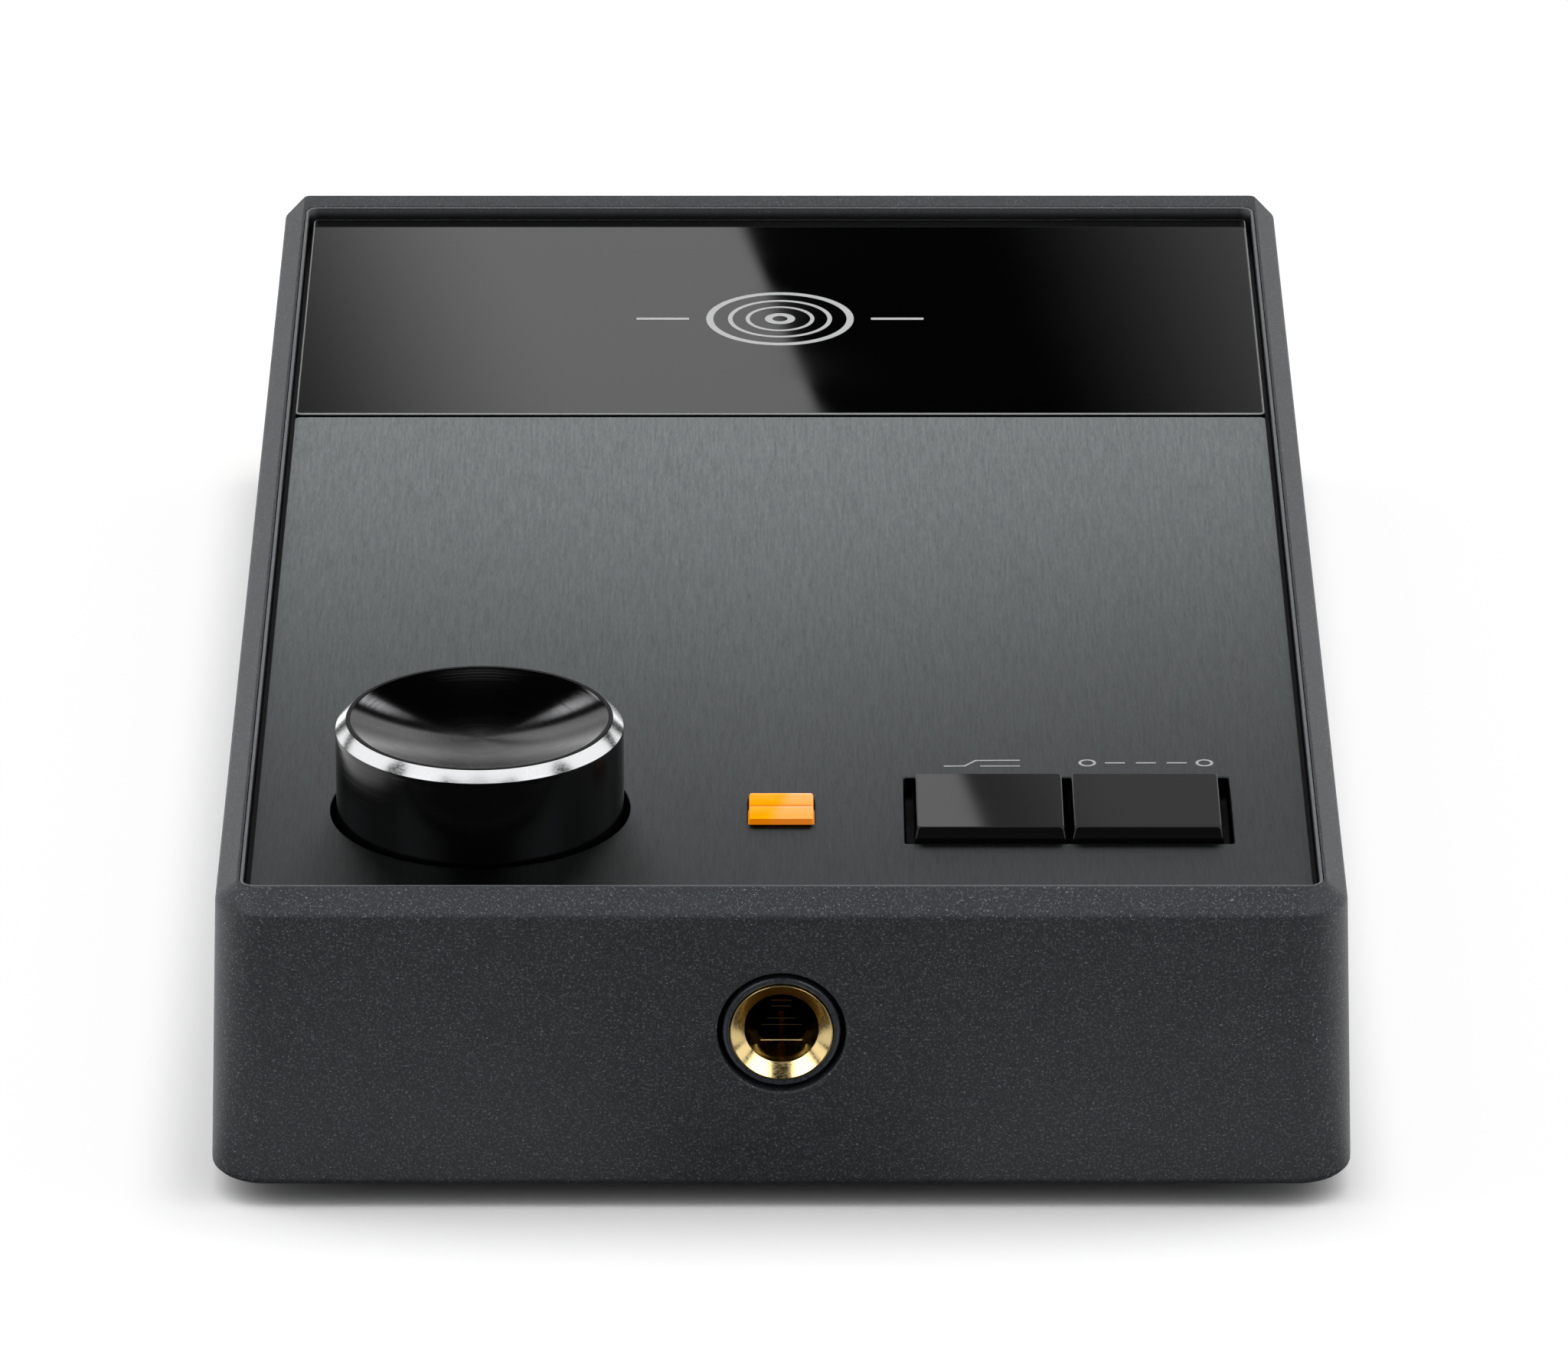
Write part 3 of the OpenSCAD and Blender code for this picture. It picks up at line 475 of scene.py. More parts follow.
@finish
def brushed_plate(t):
    """Dark grey anodised aluminium, brushed front to back, with a painted sheen in its base
    colour: lighter to the back, darker to the front and to the sides.
    """
    across, along, _ = t.place()
    # Painted sheen: the front-to-back coordinate is pulled forward on both sides, most on the
    # right, so the painted sheen is darker there.
    along = t.scale_shift(t.larger(across, 0.0), -0.35, along)
    along = t.scale_shift(t.math("MINIMUM", across, 0.0), 0.1, along)
    lines = t.noise(1.0, 3.0, stretch=(4200, 210, 60), roughness=0.6)
    fine = t.noise(1.0, 2.0, stretch=(11000, 700, 200), roughness=0.7)
    grain = t.plus(t.times(lines, 0.5), t.times(fine, 0.5))
    # Painted sheen: the base colour fades from dark at the front to light at the back.
    painted_sheen = t.ramp(along, -0.095, 0.035, 0.0, 1.0)
    low = t.mix(painted_sheen, (0.026, 0.0305, 0.032), (0.192, 0.215, 0.221))
    high = t.mix(painted_sheen, (0.08, 0.0925, 0.0965), (0.432, 0.475, 0.487))
    colour = t.mix(t.ramp(grain, 0.3, 0.7, smooth=False), low, high)
    tangent = t.add("Tangent", direction_type="RADIAL", axis="X").outputs[0]
    return principled(t, base_color=colour, metallic=1.0,
                      roughness=t.vary(grain, 0.3, 0.4),
                      anisotropic=0.85, anisotropic_rotation=0.25,
                      tangent=tangent, normal=t.bump(grain, 0.004, 0.35))


@finish
def window_glass(t):
    smear = t.noise(60, 3.0)
    return principled(t, base_color=(0.0004, 0.0004, 0.0005),
                      roughness=t.ramp(smear, 0.3, 0.8, 0.012, 0.03),
                      specular_ior_level=0.5)


def printed_ink(value):
    def build(t):
        low = (value * 0.85, value * 0.87, value * 0.87)
        colour = t.mix(t.noise(3000, 2.0), low, (value, value, value))
        return principled(t, base_color=colour, roughness=0.55)
    return new_material("printed_ink_%d" % round(value * 100), build)


@finish
def frame_plastic(t):
    """Grey on the lip, with painted shade that turns it nearly black down in the groove."""
    lip_z = to_row(0, 0, case_box("top_frame")[1].z).z
    grain = t.noise(2600, 3.0)
    fleck = t.ramp(t.noise(4200, 2.0, roughness=0.7), 0.6, 0.72, 0.0, 0.5)
    colour = t.mix(grain, (0.085, 0.091, 0.096), (0.15, 0.159, 0.167))
    colour = t.mix(fleck, colour, (0.4, 0.42, 0.43))
    # Painted shade: below the lip the colour fades to near black, as shade in the groove.
    lit = t.ramp(t.place()[2], lip_z - 0.95 * MM, lip_z - 0.25 * MM)
    return principled(t, base_color=t.mix(lit, (0.006, 0.0062, 0.0065), colour),
                      roughness=0.42, normal=t.bump(grain, 0.01, 0.3))


def turned_black(name, roughness, spread, base):
    """Black anodised aluminium with turning marks round the axis of the piece."""
    def build(t):
        x, y, _ = t.place()
        radius = t.math("SQRT", t.plus(t.times(x, x), t.times(y, y)))
        rings = t.add("TexNoise", {"W": radius, "Scale": 9000, "Detail": 3.0},
                      noise_dimensions="1D").outputs["Fac"]
        tangent = t.add("Tangent", direction_type="RADIAL", axis="Z").outputs[0]
        return principled(t, base_color=base, metallic=1.0,
                          roughness=t.vary(rings, roughness * 0.85, roughness * 1.15),
                          anisotropic=spread, anisotropic_rotation=0.25, tangent=tangent,
                          normal=t.bump(rings, 0.009, 0.8))
    return new_material(name, build)


@finish
def knob_side(t):
    lines = t.noise(1.0, 2.0, stretch=(40, 40, 9000))
    return principled(t, base_color=(0.0015, 0.0015, 0.0017),
                      roughness=t.vary(lines, 0.16, 0.24),
                      specular_ior_level=0.4, normal=t.bump(lines, 0.002, 0.3))


@finish
def cut_chamfer(t):
    """Bright diamond-cut aluminium with faint cutting marks."""
    lines = t.noise(1.0, 3.0, stretch=(3000, 3000, 12000), roughness=0.6)
    colour = t.mix(lines, (0.78, 0.79, 0.8), (0.93, 0.94, 0.95))
    return principled(t, base_color=colour, metallic=1.0, roughness=t.vary(lines, 0.1, 0.2),
                      normal=t.bump(lines, 0.004, 0.4))


@finish
def button_gloss(t):
    dust = t.ramp(t.noise(1500, 1.0), 0.76, 0.82)
    colour = t.mix(t.times(dust, 0.1), (0.004, 0.004, 0.0045), (0.08, 0.08, 0.08))
    return principled(t, base_color=colour,
                      roughness=t.vary(t.noise(90, 2.0), 0.016, 0.024),
                      specular_ior_level=0.5)


@finish
def lens_amber(t):
    """Amber resin lit from below, with a seam, a painted sky reflection paler on its right, and
    painted shade on its front face.
    """
    seam_y = to_row(*middle("led_lens")).y
    x, y, _ = t.place()
    past_seam = t.less(y, seam_y)
    cells = t.noise(700, 2.0)
    slant = t.scale_shift(past_seam, -0.25, x)
    # Painted reflection: a slanting patch on the right is made paler, as the sky reflected in
    # it.
    painted_sky_reflection = t.ramp(t.scale_shift(cells, 0.6 * MM, slant), -0.4 * MM, 1.2 * MM)
    seam = t.ramp(t.size(past_seam), 0.08 * MM, 0.35 * MM, 1, 0)
    clear = t.mix(cells, (1.0, 0.36, 0.0), (1.0, 0.52, 0.0))
    glow = t.mix(t.times(painted_sky_reflection, 0.8), clear, (1.0, 0.5, 0.14))
    glow = t.mix(t.times(seam, 0.7), glow, (0.75, 0.16, 0.0))
    # Painted shade: faces that don't face up, such as the front face, are painted a darker
    # orange.
    up = t.add("SeparateXYZ", {0: t.add("NewGeometry").outputs["Normal"]}).outputs[2]
    glow = t.mix(t.ramp(up, 0.3, 0.8, 0.85, 0.0), glow, (0.85, 0.2, 0.0))
    in_mirror = t.ray_is("Glossy")
    resin = t.mix(0.7, glow, (0.3, 0.05, 0.0))
    resin = t.mix(in_mirror, resin, (0.02, 0.01, 0.004))
    return principled(t, base_color=resin, roughness=0.16,
                      specular_ior_level=t.scale_shift(painted_sky_reflection, 0.3, 0.05),
                      emission_color=glow,
                      emission_strength=t.scale_shift(in_mirror, -0.55, 0.58))


@finish
def gold(t):
    lines = t.noise(1.0, 3.0, stretch=(2600, 9000, 2600))
    colour = t.mix(lines, (0.9, 0.66, 0.28), (1.0, 0.78, 0.38))
    return principled(t, base_color=colour, metallic=1.0,
                      roughness=t.vary(lines, 0.12, 0.22),
                      normal=t.bump(lines, 0.002, 0.2))


def soft_black(name, value, roughness, scale, depth):
    """A dark moulded or painted finish with a fine grain."""
    def build(t):
        grain = t.noise(scale, 3.0)
        colour = t.mix(grain, (value * 0.7, value * 0.72, value * 0.75),
                       (value * 1.3, value * 1.32, value * 1.36))
        return principled(t, base_color=colour,
                          roughness=t.vary(grain, roughness * 0.85, roughness * 1.1),
                          normal=t.bump(grain, depth, 0.5))
    return new_material(name, build)


def tinted(name, low, high, roughness, scale=900, metallic=0.0):
    """A coloured finish that wanders between two colours."""
    def build(t):
        grain = t.noise(scale, 3.0)
        return principled(t, base_color=t.mix(grain, low, high), metallic=metallic,
                          roughness=t.vary(grain, roughness * 0.8, roughness * 1.2),
                          normal=t.bump(grain, 0.01, 0.4))
    return new_material(name, build)


# Grey value, roughness, and the scale and depth of the grain
SOFT_BLACKS = {
    "black_sheet": (0.022, 0.45, 1800, 0.02),
    "foot_rubber": (0.014, 0.75, 3500, 0.03),
    "insert_black": (0.008, 0.6, 1500, 0.02),
    "switch_black": (0.03, 0.5, 1500, 0.02),
    "jack_black": (0.012, 0.4, 1800, 0.01),
    "chip_black": (0.016, 0.6, 2200, 0.02),
}
# Two colours and the roughness, and for some the scale of the grain and how metallic it is
TINTS = {
    "black_screw": ((0.02, 0.02, 0.021), (0.05, 0.05, 0.052), 0.34, 2500, 1.0),
    "bright_steel": ((0.52, 0.52, 0.53), (0.7, 0.7, 0.71), 0.26, 2500, 1.0),
    "tape": ((0.62, 0.61, 0.56), (0.75, 0.74, 0.7), 0.8),
    "board_green": ((0.015, 0.09, 0.045), (0.03, 0.14, 0.075), 0.35, 700),
    "brass_plain": ((0.6, 0.42, 0.15), (0.72, 0.52, 0.22), 0.28, 2200, 1.0),
    "pot_blue": ((0.02, 0.04, 0.1), (0.035, 0.06, 0.15), 0.5),
    "lamp_white": ((0.8, 0.78, 0.66), (0.9, 0.88, 0.78), 0.4),
    "ribbon_grey": ((0.42, 0.42, 0.44), (0.55, 0.55, 0.57), 0.55),
    "plunger_white": ((0.7, 0.7, 0.67), (0.8, 0.8, 0.78), 0.45),
    "spring_steel": ((0.5, 0.5, 0.5), (0.66, 0.66, 0.66), 0.25, 3000, 1.0),
    "collar_dark": ((0.028, 0.032, 0.04), (0.046, 0.052, 0.064), 0.3, 2400),
    "insert_white": ((0.74, 0.74, 0.71), (0.84, 0.84, 0.82), 0.4),
    "insert_red": ((0.42, 0.015, 0.012), (0.56, 0.03, 0.025), 0.4),
    "port_steel": ((0.55, 0.56, 0.57), (0.7, 0.71, 0.72), 0.28, 2500, 1.0),
    "port_plastic": ((0.7, 0.7, 0.68), (0.8, 0.8, 0.78), 0.5),
    "capacitor_blue": ((0.01, 0.02, 0.09), (0.02, 0.035, 0.14), 0.35),
    "film_red": ((0.32, 0.03, 0.02), (0.45, 0.05, 0.03), 0.4),
    "relay_cream": ((0.62, 0.58, 0.45), (0.72, 0.68, 0.55), 0.45),
}


# One finished material for each material slot of the record
PAINT = {
    "powder_coat": powder_coat,
    "frame_plastic": frame_plastic,
    "brushed_plate": brushed_plate,
    "window_glass": window_glass,
    "knob_black": knob_side,
    "lens_amber": lens_amber,
    "button_gloss": button_gloss,
    "gold": gold,
}
PAINT.update((name, soft_black(name, *values)) for name, values in SOFT_BLACKS.items())
PAINT.update((name, tinted(name, *values)) for name, values in TINTS.items())


# ---------- case

CHAMFER_IN = 1.9
CHAMFER_DROP = 2.1
SIDE_DRAFT = math.radians(1.55)
FRONT_R = 5.0
RIM_R = 1.65
REAR_R = 0.6
BREAK = 0.6
REAR_RIM = 3.23
RIM_FLAT = 0.23
OPENING_R = 1.5
INNER_R = 0.5
WALL_SIDE = 3.2
WALL_FRONT = 3.0
WALL_REAR = 2.2
LEDGE_IN = 1.3
LEDGE_FRONT = 4.28
LEDGE_REAR = REAR_RIM + 2.23
LEDGE_T = 1.7
REAR_OPENING_HALF = 44.5
REAR_OPENING_LOW = 2.5
REAR_PANEL_LAP = 0.4
JACK_HOLE_R = 5.72
JACK_HOLE_EDGE = 0.28
BOSS_R = 3.35
BOSS_BORE_R = 1.55
BOSS_TOP_GAP = 1.75
SCREW_HEAD_R = 2.75


def case_ring(half_w, front, rear, r_front, r_rear, z):
    return rounded_rect(-half_w, front, half_w, rear, r_front, r_rear, z)


def case_levels():
    """The rings round the case wall, from the bottom inner edge up the outside and back."""
    top_half = CASE_W / 2 - math.tan(SIDE_DRAFT) * CASE_H - CHAMFER_IN
    chamfer_z = CASE_H - CHAMFER_DROP
    chamfer_half = CASE_W / 2 - math.tan(SIDE_DRAFT) * chamfer_z
    open_half = top_half - RIM_FLAT
    open_front = CHAMFER_IN + RIM_FLAT
    open_rear = CASE_D - REAR_RIM
    ledge_z = case_box("top_frame")[0].z
    ledge_low = ledge_z - LEDGE_T
    ledge_rear = CASE_D - LEDGE_REAR
    ledge_half = half_width("top_plate") - LEDGE_IN
    inner_half = CASE_W / 2 - WALL_SIDE
    inner_rear = CASE_D - WALL_REAR
    # Half width, front, rear, front radius, rear radius, height, and how soft the bend is
    levels = [
        (inner_half, WALL_FRONT, inner_rear, INNER_R, INNER_R, 0, 0.15),
        (CASE_W / 2 - BREAK, BREAK, CASE_D - BREAK, FRONT_R - BREAK, REAR_R, 0, 0.3),
        (CASE_W / 2, 0, CASE_D, FRONT_R, REAR_R, BREAK, 0.3),
        (chamfer_half, 0, CASE_D, FRONT_R, REAR_R, chamfer_z, 0.35),
        (top_half, CHAMFER_IN, CASE_D, RIM_R, REAR_R, CASE_H, 0.16),
        (open_half, open_front, open_rear, OPENING_R, OPENING_R, CASE_H, 0.05),
        (open_half, open_front, open_rear, OPENING_R, OPENING_R, ledge_z, 0),
        (ledge_half, LEDGE_FRONT, ledge_rear, INNER_R, INNER_R, ledge_z, 0),
        (ledge_half, LEDGE_FRONT, ledge_rear, INNER_R, INNER_R, ledge_low, 0),
        (inner_half, WALL_FRONT, inner_rear, INNER_R, INNER_R, ledge_low, 0),
    ]
    rings = [case_ring(*level[:6]) for level in levels]
    return soften(rings, [level[6] for level in levels])


def jack_cutter(axis_z):
    """A bore whose mouth flares, so that the case's edge round it comes out rounded."""
    mouth_r = JACK_HOLE_R + JACK_HOLE_EDGE
    profile = [(0, -1), (mouth_r, -1), (mouth_r, 0)]
    steps = 5
    for k in range(1, steps + 1):
        a = math.pi / 2 * k / steps
        profile.append((JACK_HOLE_R + JACK_HOLE_EDGE * (1 - math.sin(a)),
                        JACK_HOLE_EDGE * (1 - math.cos(a))))
    profile += [(JACK_HOLE_R, WALL_FRONT + 1), (0, WALL_FRONT + 1)]
    cutter = bmesh.new()
    add_lathe(cutter, profile, Vector((0, 0, axis_z)), "y", 128)
    return cutter


def box_bmesh(x0, x1, y0, y1, z0, z1):
    made = bmesh.new()
    add_loft(made, [[Vector((x0, y0, z)), Vector((x1, y0, z)), Vector((x1, y1, z)),
                     Vector((x0, y1, z))] for z in (z0, z1)])
    return made


def build_case():
    bm = bmesh.new()
    add_loft(bm, case_levels(), closed=True)
    opening = box_bmesh(-REAR_OPENING_HALF, REAR_OPENING_HALF, CASE_D - WALL_REAR - 1,
                        CASE_D + 1, REAR_OPENING_LOW,
                        case_box("rear_panel")[1].z - REAR_PANEL_LAP)
    bm = boolean(bm, [opening, jack_cutter(middle("jack_sleeve").z)])
    replace_node(bm, "case_shell", "powder_coat")


def build_bosses():
    """The four screw bosses inside the case."""
    low, high = case_box("base_screws")
    bottom = case_box("base_plate")[1].z
    top = case_box("top_frame")[0].z - BOSS_TOP_GAP
    profile = fillet([(BOSS_BORE_R, bottom, 0), (BOSS_R, bottom, 0.2), (BOSS_R, top, 0),
                      (BOSS_BORE_R, top, 0)])
    bm = bmesh.new()
    for x in (low.x + SCREW_HEAD_R, high.x - SCREW_HEAD_R):
        for y in (low.y + SCREW_HEAD_R, high.y - SCREW_HEAD_R):
            add_lathe(bm, profile, Vector((x, y, 0)), "z", 48)
    add_piece(bm, "case_bosses", "powder_coat")


# ---------- top face

LIP_T = 0.28
LIP_R = 1.35
FLOOR_DROP = 0.3
FLOOR_IN = 2.5
FLOOR_REAR_IN = 3.28
FLOOR_BAR_HALF = 4.5
PANEL_R = 0.6
PLATE_BEVEL = 0.1
GLASS_BEVEL = 0.14
KNOB_GAP = 0.55
LENS_HOLE_HALF = 2.98
LENS_HOLE_R = 0.25
SLOT_HALF_W = 14.7
SLOT_HALF_D = 7.55
SLOT_R = 0.3


def build_frame():
    """The thin moulded frame: a lip round the opening and a floor under the panels."""
    low, high = case_box("top_frame")
    plate_low, plate_high = case_box("top_plate")
    floor_top = plate_low.z - FLOOR_DROP
    half = high.x
    inner = half - LIP_T
    inner_r = LIP_R - LIP_T
    front, rear = low.y + LIP_T, high.y - LIP_T
    floor_half = plate_high.x - FLOOR_IN
    floor_front, floor_rear = plate_low.y + FLOOR_IN, high.y - FLOOR_REAR_IN
    # Half width, front, rear, corner radius, height, and how soft the bend is
    levels = [
        (half, low.y, high.y, LIP_R, low.z, 0),
        (half, low.y, high.y, LIP_R, high.z, 0.05),
        (inner, front, rear, inner_r, high.z, 0.09),
        (inner, front, rear, inner_r, floor_top, 0),
        (floor_half, floor_front, floor_rear, INNER_R, floor_top, 0),
        (floor_half, floor_front, floor_rear, INNER_R, low.z, 0),
    ]
    rings = [case_ring(w, f, r, c, c, z) for w, f, r, c, z, _ in levels]
    bm = bmesh.new()
    add_loft(bm, soften(rings, [level[5] for level in levels]), closed=True)
    split = (plate_high.y + case_box("glass_window")[0].y) / 2
    bar = box_bmesh(-floor_half - 0.5, floor_half + 0.5, split - FLOOR_BAR_HALF,
                    split + FLOOR_BAR_HALF, low.z, floor_top)
    replace_node(boolean(bm, [bar], "UNION"), "top_frame", "frame_plastic")


def outline(x, y, half_w, half_d, r):
    """A rounded rectangle as a function of grow, for add_sheet."""
    return lambda grow: rounded_rect(x - half_w - grow, y - half_d - grow,
                                     x + half_w + grow, y + half_d + grow, r + grow)


def panel_outline(node):
    low, high = case_box(node)
    centre, half = (low + high) / 2, (high - low) / 2
    return outline(centre.x, centre.y, half.x, half.y, PANEL_R)


def build_panels():
    low, high = case_box("top_plate")
    knob = middle("volume_knob")
    lens = middle("led_lens")
    hole_r = half_width("volume_knob") + KNOB_GAP
    slot = (case_box("left_button")[0] + case_box("right_button")[1]) / 2
    holes = [lambda grow: circle_ring(knob.x, knob.y, hole_r + grow),
             outline(lens.x, lens.y, LENS_HOLE_HALF, LENS_HOLE_HALF, LENS_HOLE_R),
             outline(slot.x, slot.y, SLOT_HALF_W, SLOT_HALF_D, SLOT_R)]
    bm = bmesh.new()
    add_sheet(bm, panel_outline("top_plate"), holes, low.z, high.z, PLATE_BEVEL)
    replace_node(bm, "top_plate", "brushed_plate")

    low, high = case_box("glass_window")
    bm = bmesh.new()
    add_sheet(bm, panel_outline("glass_window"), [], low.z, high.z, GLASS_BEVEL, edge_index=1)
    # Painted highlight: the glass's round upper edge gets a light grey finish that stands in for
    # the highlight along it.
    painted_edge_highlight = tinted("glass_edge_painted_highlight", (0.3, 0.31, 0.31), (0.42, 0.43, 0.43), 0.35, 2500)
    replace_node(bm, "glass_window", "window_glass",
                 materials=[PAINT["window_glass"], painted_edge_highlight])


# ---------- printed marks

INK_H = 0.02
LEFT_MARK_X = 18.2
RIGHT_MARK_X = 33.0
MARKS_Y = 32.25
WINDOW_MARK_SHIFT = -1.2
WINDOW_RINGS = ((6.6, 7.3), (4.7, 5.15), (3.0, 3.4), (0.75, 1.5))


def add_stroke(bm, points, width, z):
    """A thin raised ribbon of print along a path of (x, y) points."""
    half = width / 2
    rings = []
    for i, point in enumerate(points):
        along = Vector(points[min(i + 1, len(points) - 1)]) - Vector(points[max(i - 1, 0)])
        side = Vector((-along.y, along.x)).normalized() * half
        a, b = Vector(point) + side, Vector(point) - side
        rings.append([Vector((a.x, a.y, z)), Vector((b.x, b.y, z)),
                      Vector((b.x, b.y, z + INK_H)), Vector((a.x, a.y, z + INK_H))])
    add_loft(bm, rings)


def add_ring_mark(bm, x, y, r_in, r_out, z, count=64):
    profile = [(r_in, z), (r_out, z), (r_out, z + INK_H), (r_in, z + INK_H)]
    add_lathe(bm, profile, Vector((x, y, 0)), "z", count)


def build_marks():
    """Generic printed symbols in the places where the real object has print."""
    top = case_box("top_plate")[1].z
    bm = bmesh.new()
    x, y = LEFT_MARK_X, MARKS_Y
    # Left: a line that drops away to one side
    add_stroke(bm, [(x - 3.5, y - 0.75), (x - 1.6, y - 0.7), (x - 0.6, y + 0.55),
                    (x + 3.4, y + 0.6)], 0.24, top)
    add_stroke(bm, [(x - 0.2, y - 0.72), (x + 3.4, y - 0.72)], 0.2, top)
    # Right: two rings joined by a broken bar
    x = RIGHT_MARK_X
    for dx in (-5.3, 5.3):
        add_ring_mark(bm, x + dx, y, 0.55, 0.8, top)
    for dx in (-2.8, 0.0, 2.8):
        add_stroke(bm, [(x + dx - 0.9, y), (x + dx + 0.9, y)], 0.26, top)
    add_piece(bm, "plate_symbols", "brushed_plate", materials=[printed_ink(0.42)])

    top = case_box("glass_window")[1].z
    y = middle("glass_window").y + WINDOW_MARK_SHIFT
    bm = bmesh.new()
    for r_in, r_out in WINDOW_RINGS:
        add_ring_mark(bm, 0, y, r_in, r_out, top, 96)
    for side in (-1, 1):
        add_stroke(bm, [(side * 9.0, y), (side * 14.2, y)], 0.55, top)
    add_piece(bm, "window_symbol", "window_glass", materials=[printed_ink(0.5)])


# ---------- volume knob

KNOB_CHAMFER = 0.95
KNOB_RIM = 0.4
KNOB_WALL = 2.4
KNOB_WEB = 0.9
DISH_DEPTH = 2.0
DISH_STEPS = 56


def build_knob():
    """A cup with a cut chamfer and a turned dish; its origin is on its axis, so that the
    turning marks run round it."""
    low, high = case_box("volume_knob")
    centre = (low + high) / 2
    r = half_width("volume_knob")
    top, bottom = high.z, low.z
    cup_r = r - KNOB_WALL
    cup_top = top - DISH_DEPTH - KNOB_WEB
    dish_w = r - KNOB_CHAMFER - KNOB_RIM
    dish_r = (dish_w ** 2 + DISH_DEPTH ** 2) / (2 * DISH_DEPTH)
    side, chamfer, rim, dish, inside = range(5)
    profile, index = [], []

    def run(points, material):
        for point in points:
            profile.append(point)
            index.append(material)

    run([(0, cup_top), (cup_r, cup_top), (cup_r, bottom)], inside)
    run(fillet([(cup_r, bottom, 0), (r, bottom, 0.2), (r, top - 1.5, 0)])[1:], side)
    run([(r, top - KNOB_CHAMFER - 0.05)], side)
    run([(r - 0.015, top - KNOB_CHAMFER)], chamfer)
    run([(r - KNOB_CHAMFER + 0.03, top - 0.045)], rim)
    run([(r - KNOB_CHAMFER - 0.03, top), (dish_w + 0.05, top)], rim)
    start = math.asin(dish_w / dish_r)
    for k in range(DISH_STEPS + 1):
        a = start * (1 - k / DISH_STEPS)
        run([(dish_r * math.sin(a), top - DISH_DEPTH + dish_r * (1 - math.cos(a)))], dish)
    bm = bmesh.new()
    axis = (centre.x, centre.y, 0)
    add_lathe(bm, profile, Vector(axis), "z", 224, closed=False, index=index)
    dish_finish = turned_black("knob_dish", 0.12, 0.8, (0.068, 0.069, 0.071))
    rim_finish = turned_black("knob_rim", 0.24, 0.6, (0.004, 0.004, 0.0042))
    replace_node(bm, "volume_knob", "knob_black", body="volume_control", sharp=22, origin=axis,
                 materials=[PAINT["knob_black"], cut_chamfer, rim_finish, dish_finish,
                            PAINT["insert_black"]])


# ---------- lens and buttons

LENS_HALF = 2.9
LENS_CROWN = 0.05
LENS_GROOVE = 0.05
# How far in from the lens's side each cut lies, and how far its top drops there
LENS_EDGE = ((0.0, 0.28), (0.03, 0.15), (0.1, 0.06), (0.2, 0.0))


def square_ring(x, y, half_w, half_d, r, z):
    return rounded_rect(x - half_w, y - half_d, x + half_w, y + half_d, r, None, z, 6)


def lens_profile(y, half, z_low, z_side, z_top, groove):
    """The lens seen from its side: two gently crowned halves with a fine groove between."""
    points = [(y - half, z_low), (y - half, z_side)]
    for start in (-1.0, 0.0):
        for k in range(13):
            t = k / 12
            crown = LENS_CROWN * (1 - (2 * t - 1) ** 2)
            rise = min(1.0, 6 * min(t, 1 - t)) if groove else 1.0
            points.append((y + (start + t) * (half - 0.06), z_top - groove * (1 - rise) + crown))
    return points + [(y + half, z_side), (y + half, z_low)]


def build_lens():
    low, high = case_box("led_lens")
    x, y, _ = middle("led_lens")
    flange = half_width("led_lens")
    plate_z = case_box("top_plate")[0].z
    cuts = [(inset - LENS_HALF, drop) for inset, drop in LENS_EDGE]
    cuts += [(LENS_HALF - inset, drop) for inset, drop in reversed(LENS_EDGE)]
    rings = []
    for across, drop in cuts:
        groove = 0 if drop else LENS_GROOVE
        profile = lens_profile(y, LENS_HALF - drop * 0.8, plate_z - 0.2, high.z - 0.1 - drop,
                               high.z - LENS_CROWN - drop, groove)
        rings.append([Vector((x + across, py, pz)) for py, pz in profile])
    bm = bmesh.new()
    add_loft(bm, rings)
    base = [square_ring(x, y, flange, flange, 0.2, z) for z in (low.z, plate_z - 0.1)]
    add_loft(bm, soften(base, [0.1, 0.1], closed=False))
    replace_node(bm, "led_lens", "lens_amber", sharp=50)


BUTTON_W = 13.0
BUTTON_WALL = 1.2
BUTTON_TOP_T = 1.3
BUTTON_FLANK = 0.3
BUTTON_FLANK_H = 1.2
BUTTON_LIP_T = 1.0
BUTTON_LIP_DROP = 2.0
BUTTON_LIP_SIDE = 0.7
BUTTON_LIP_END = 2.175
SOCKET_R = 3.2
SOCKET_BORE_R = 1.92


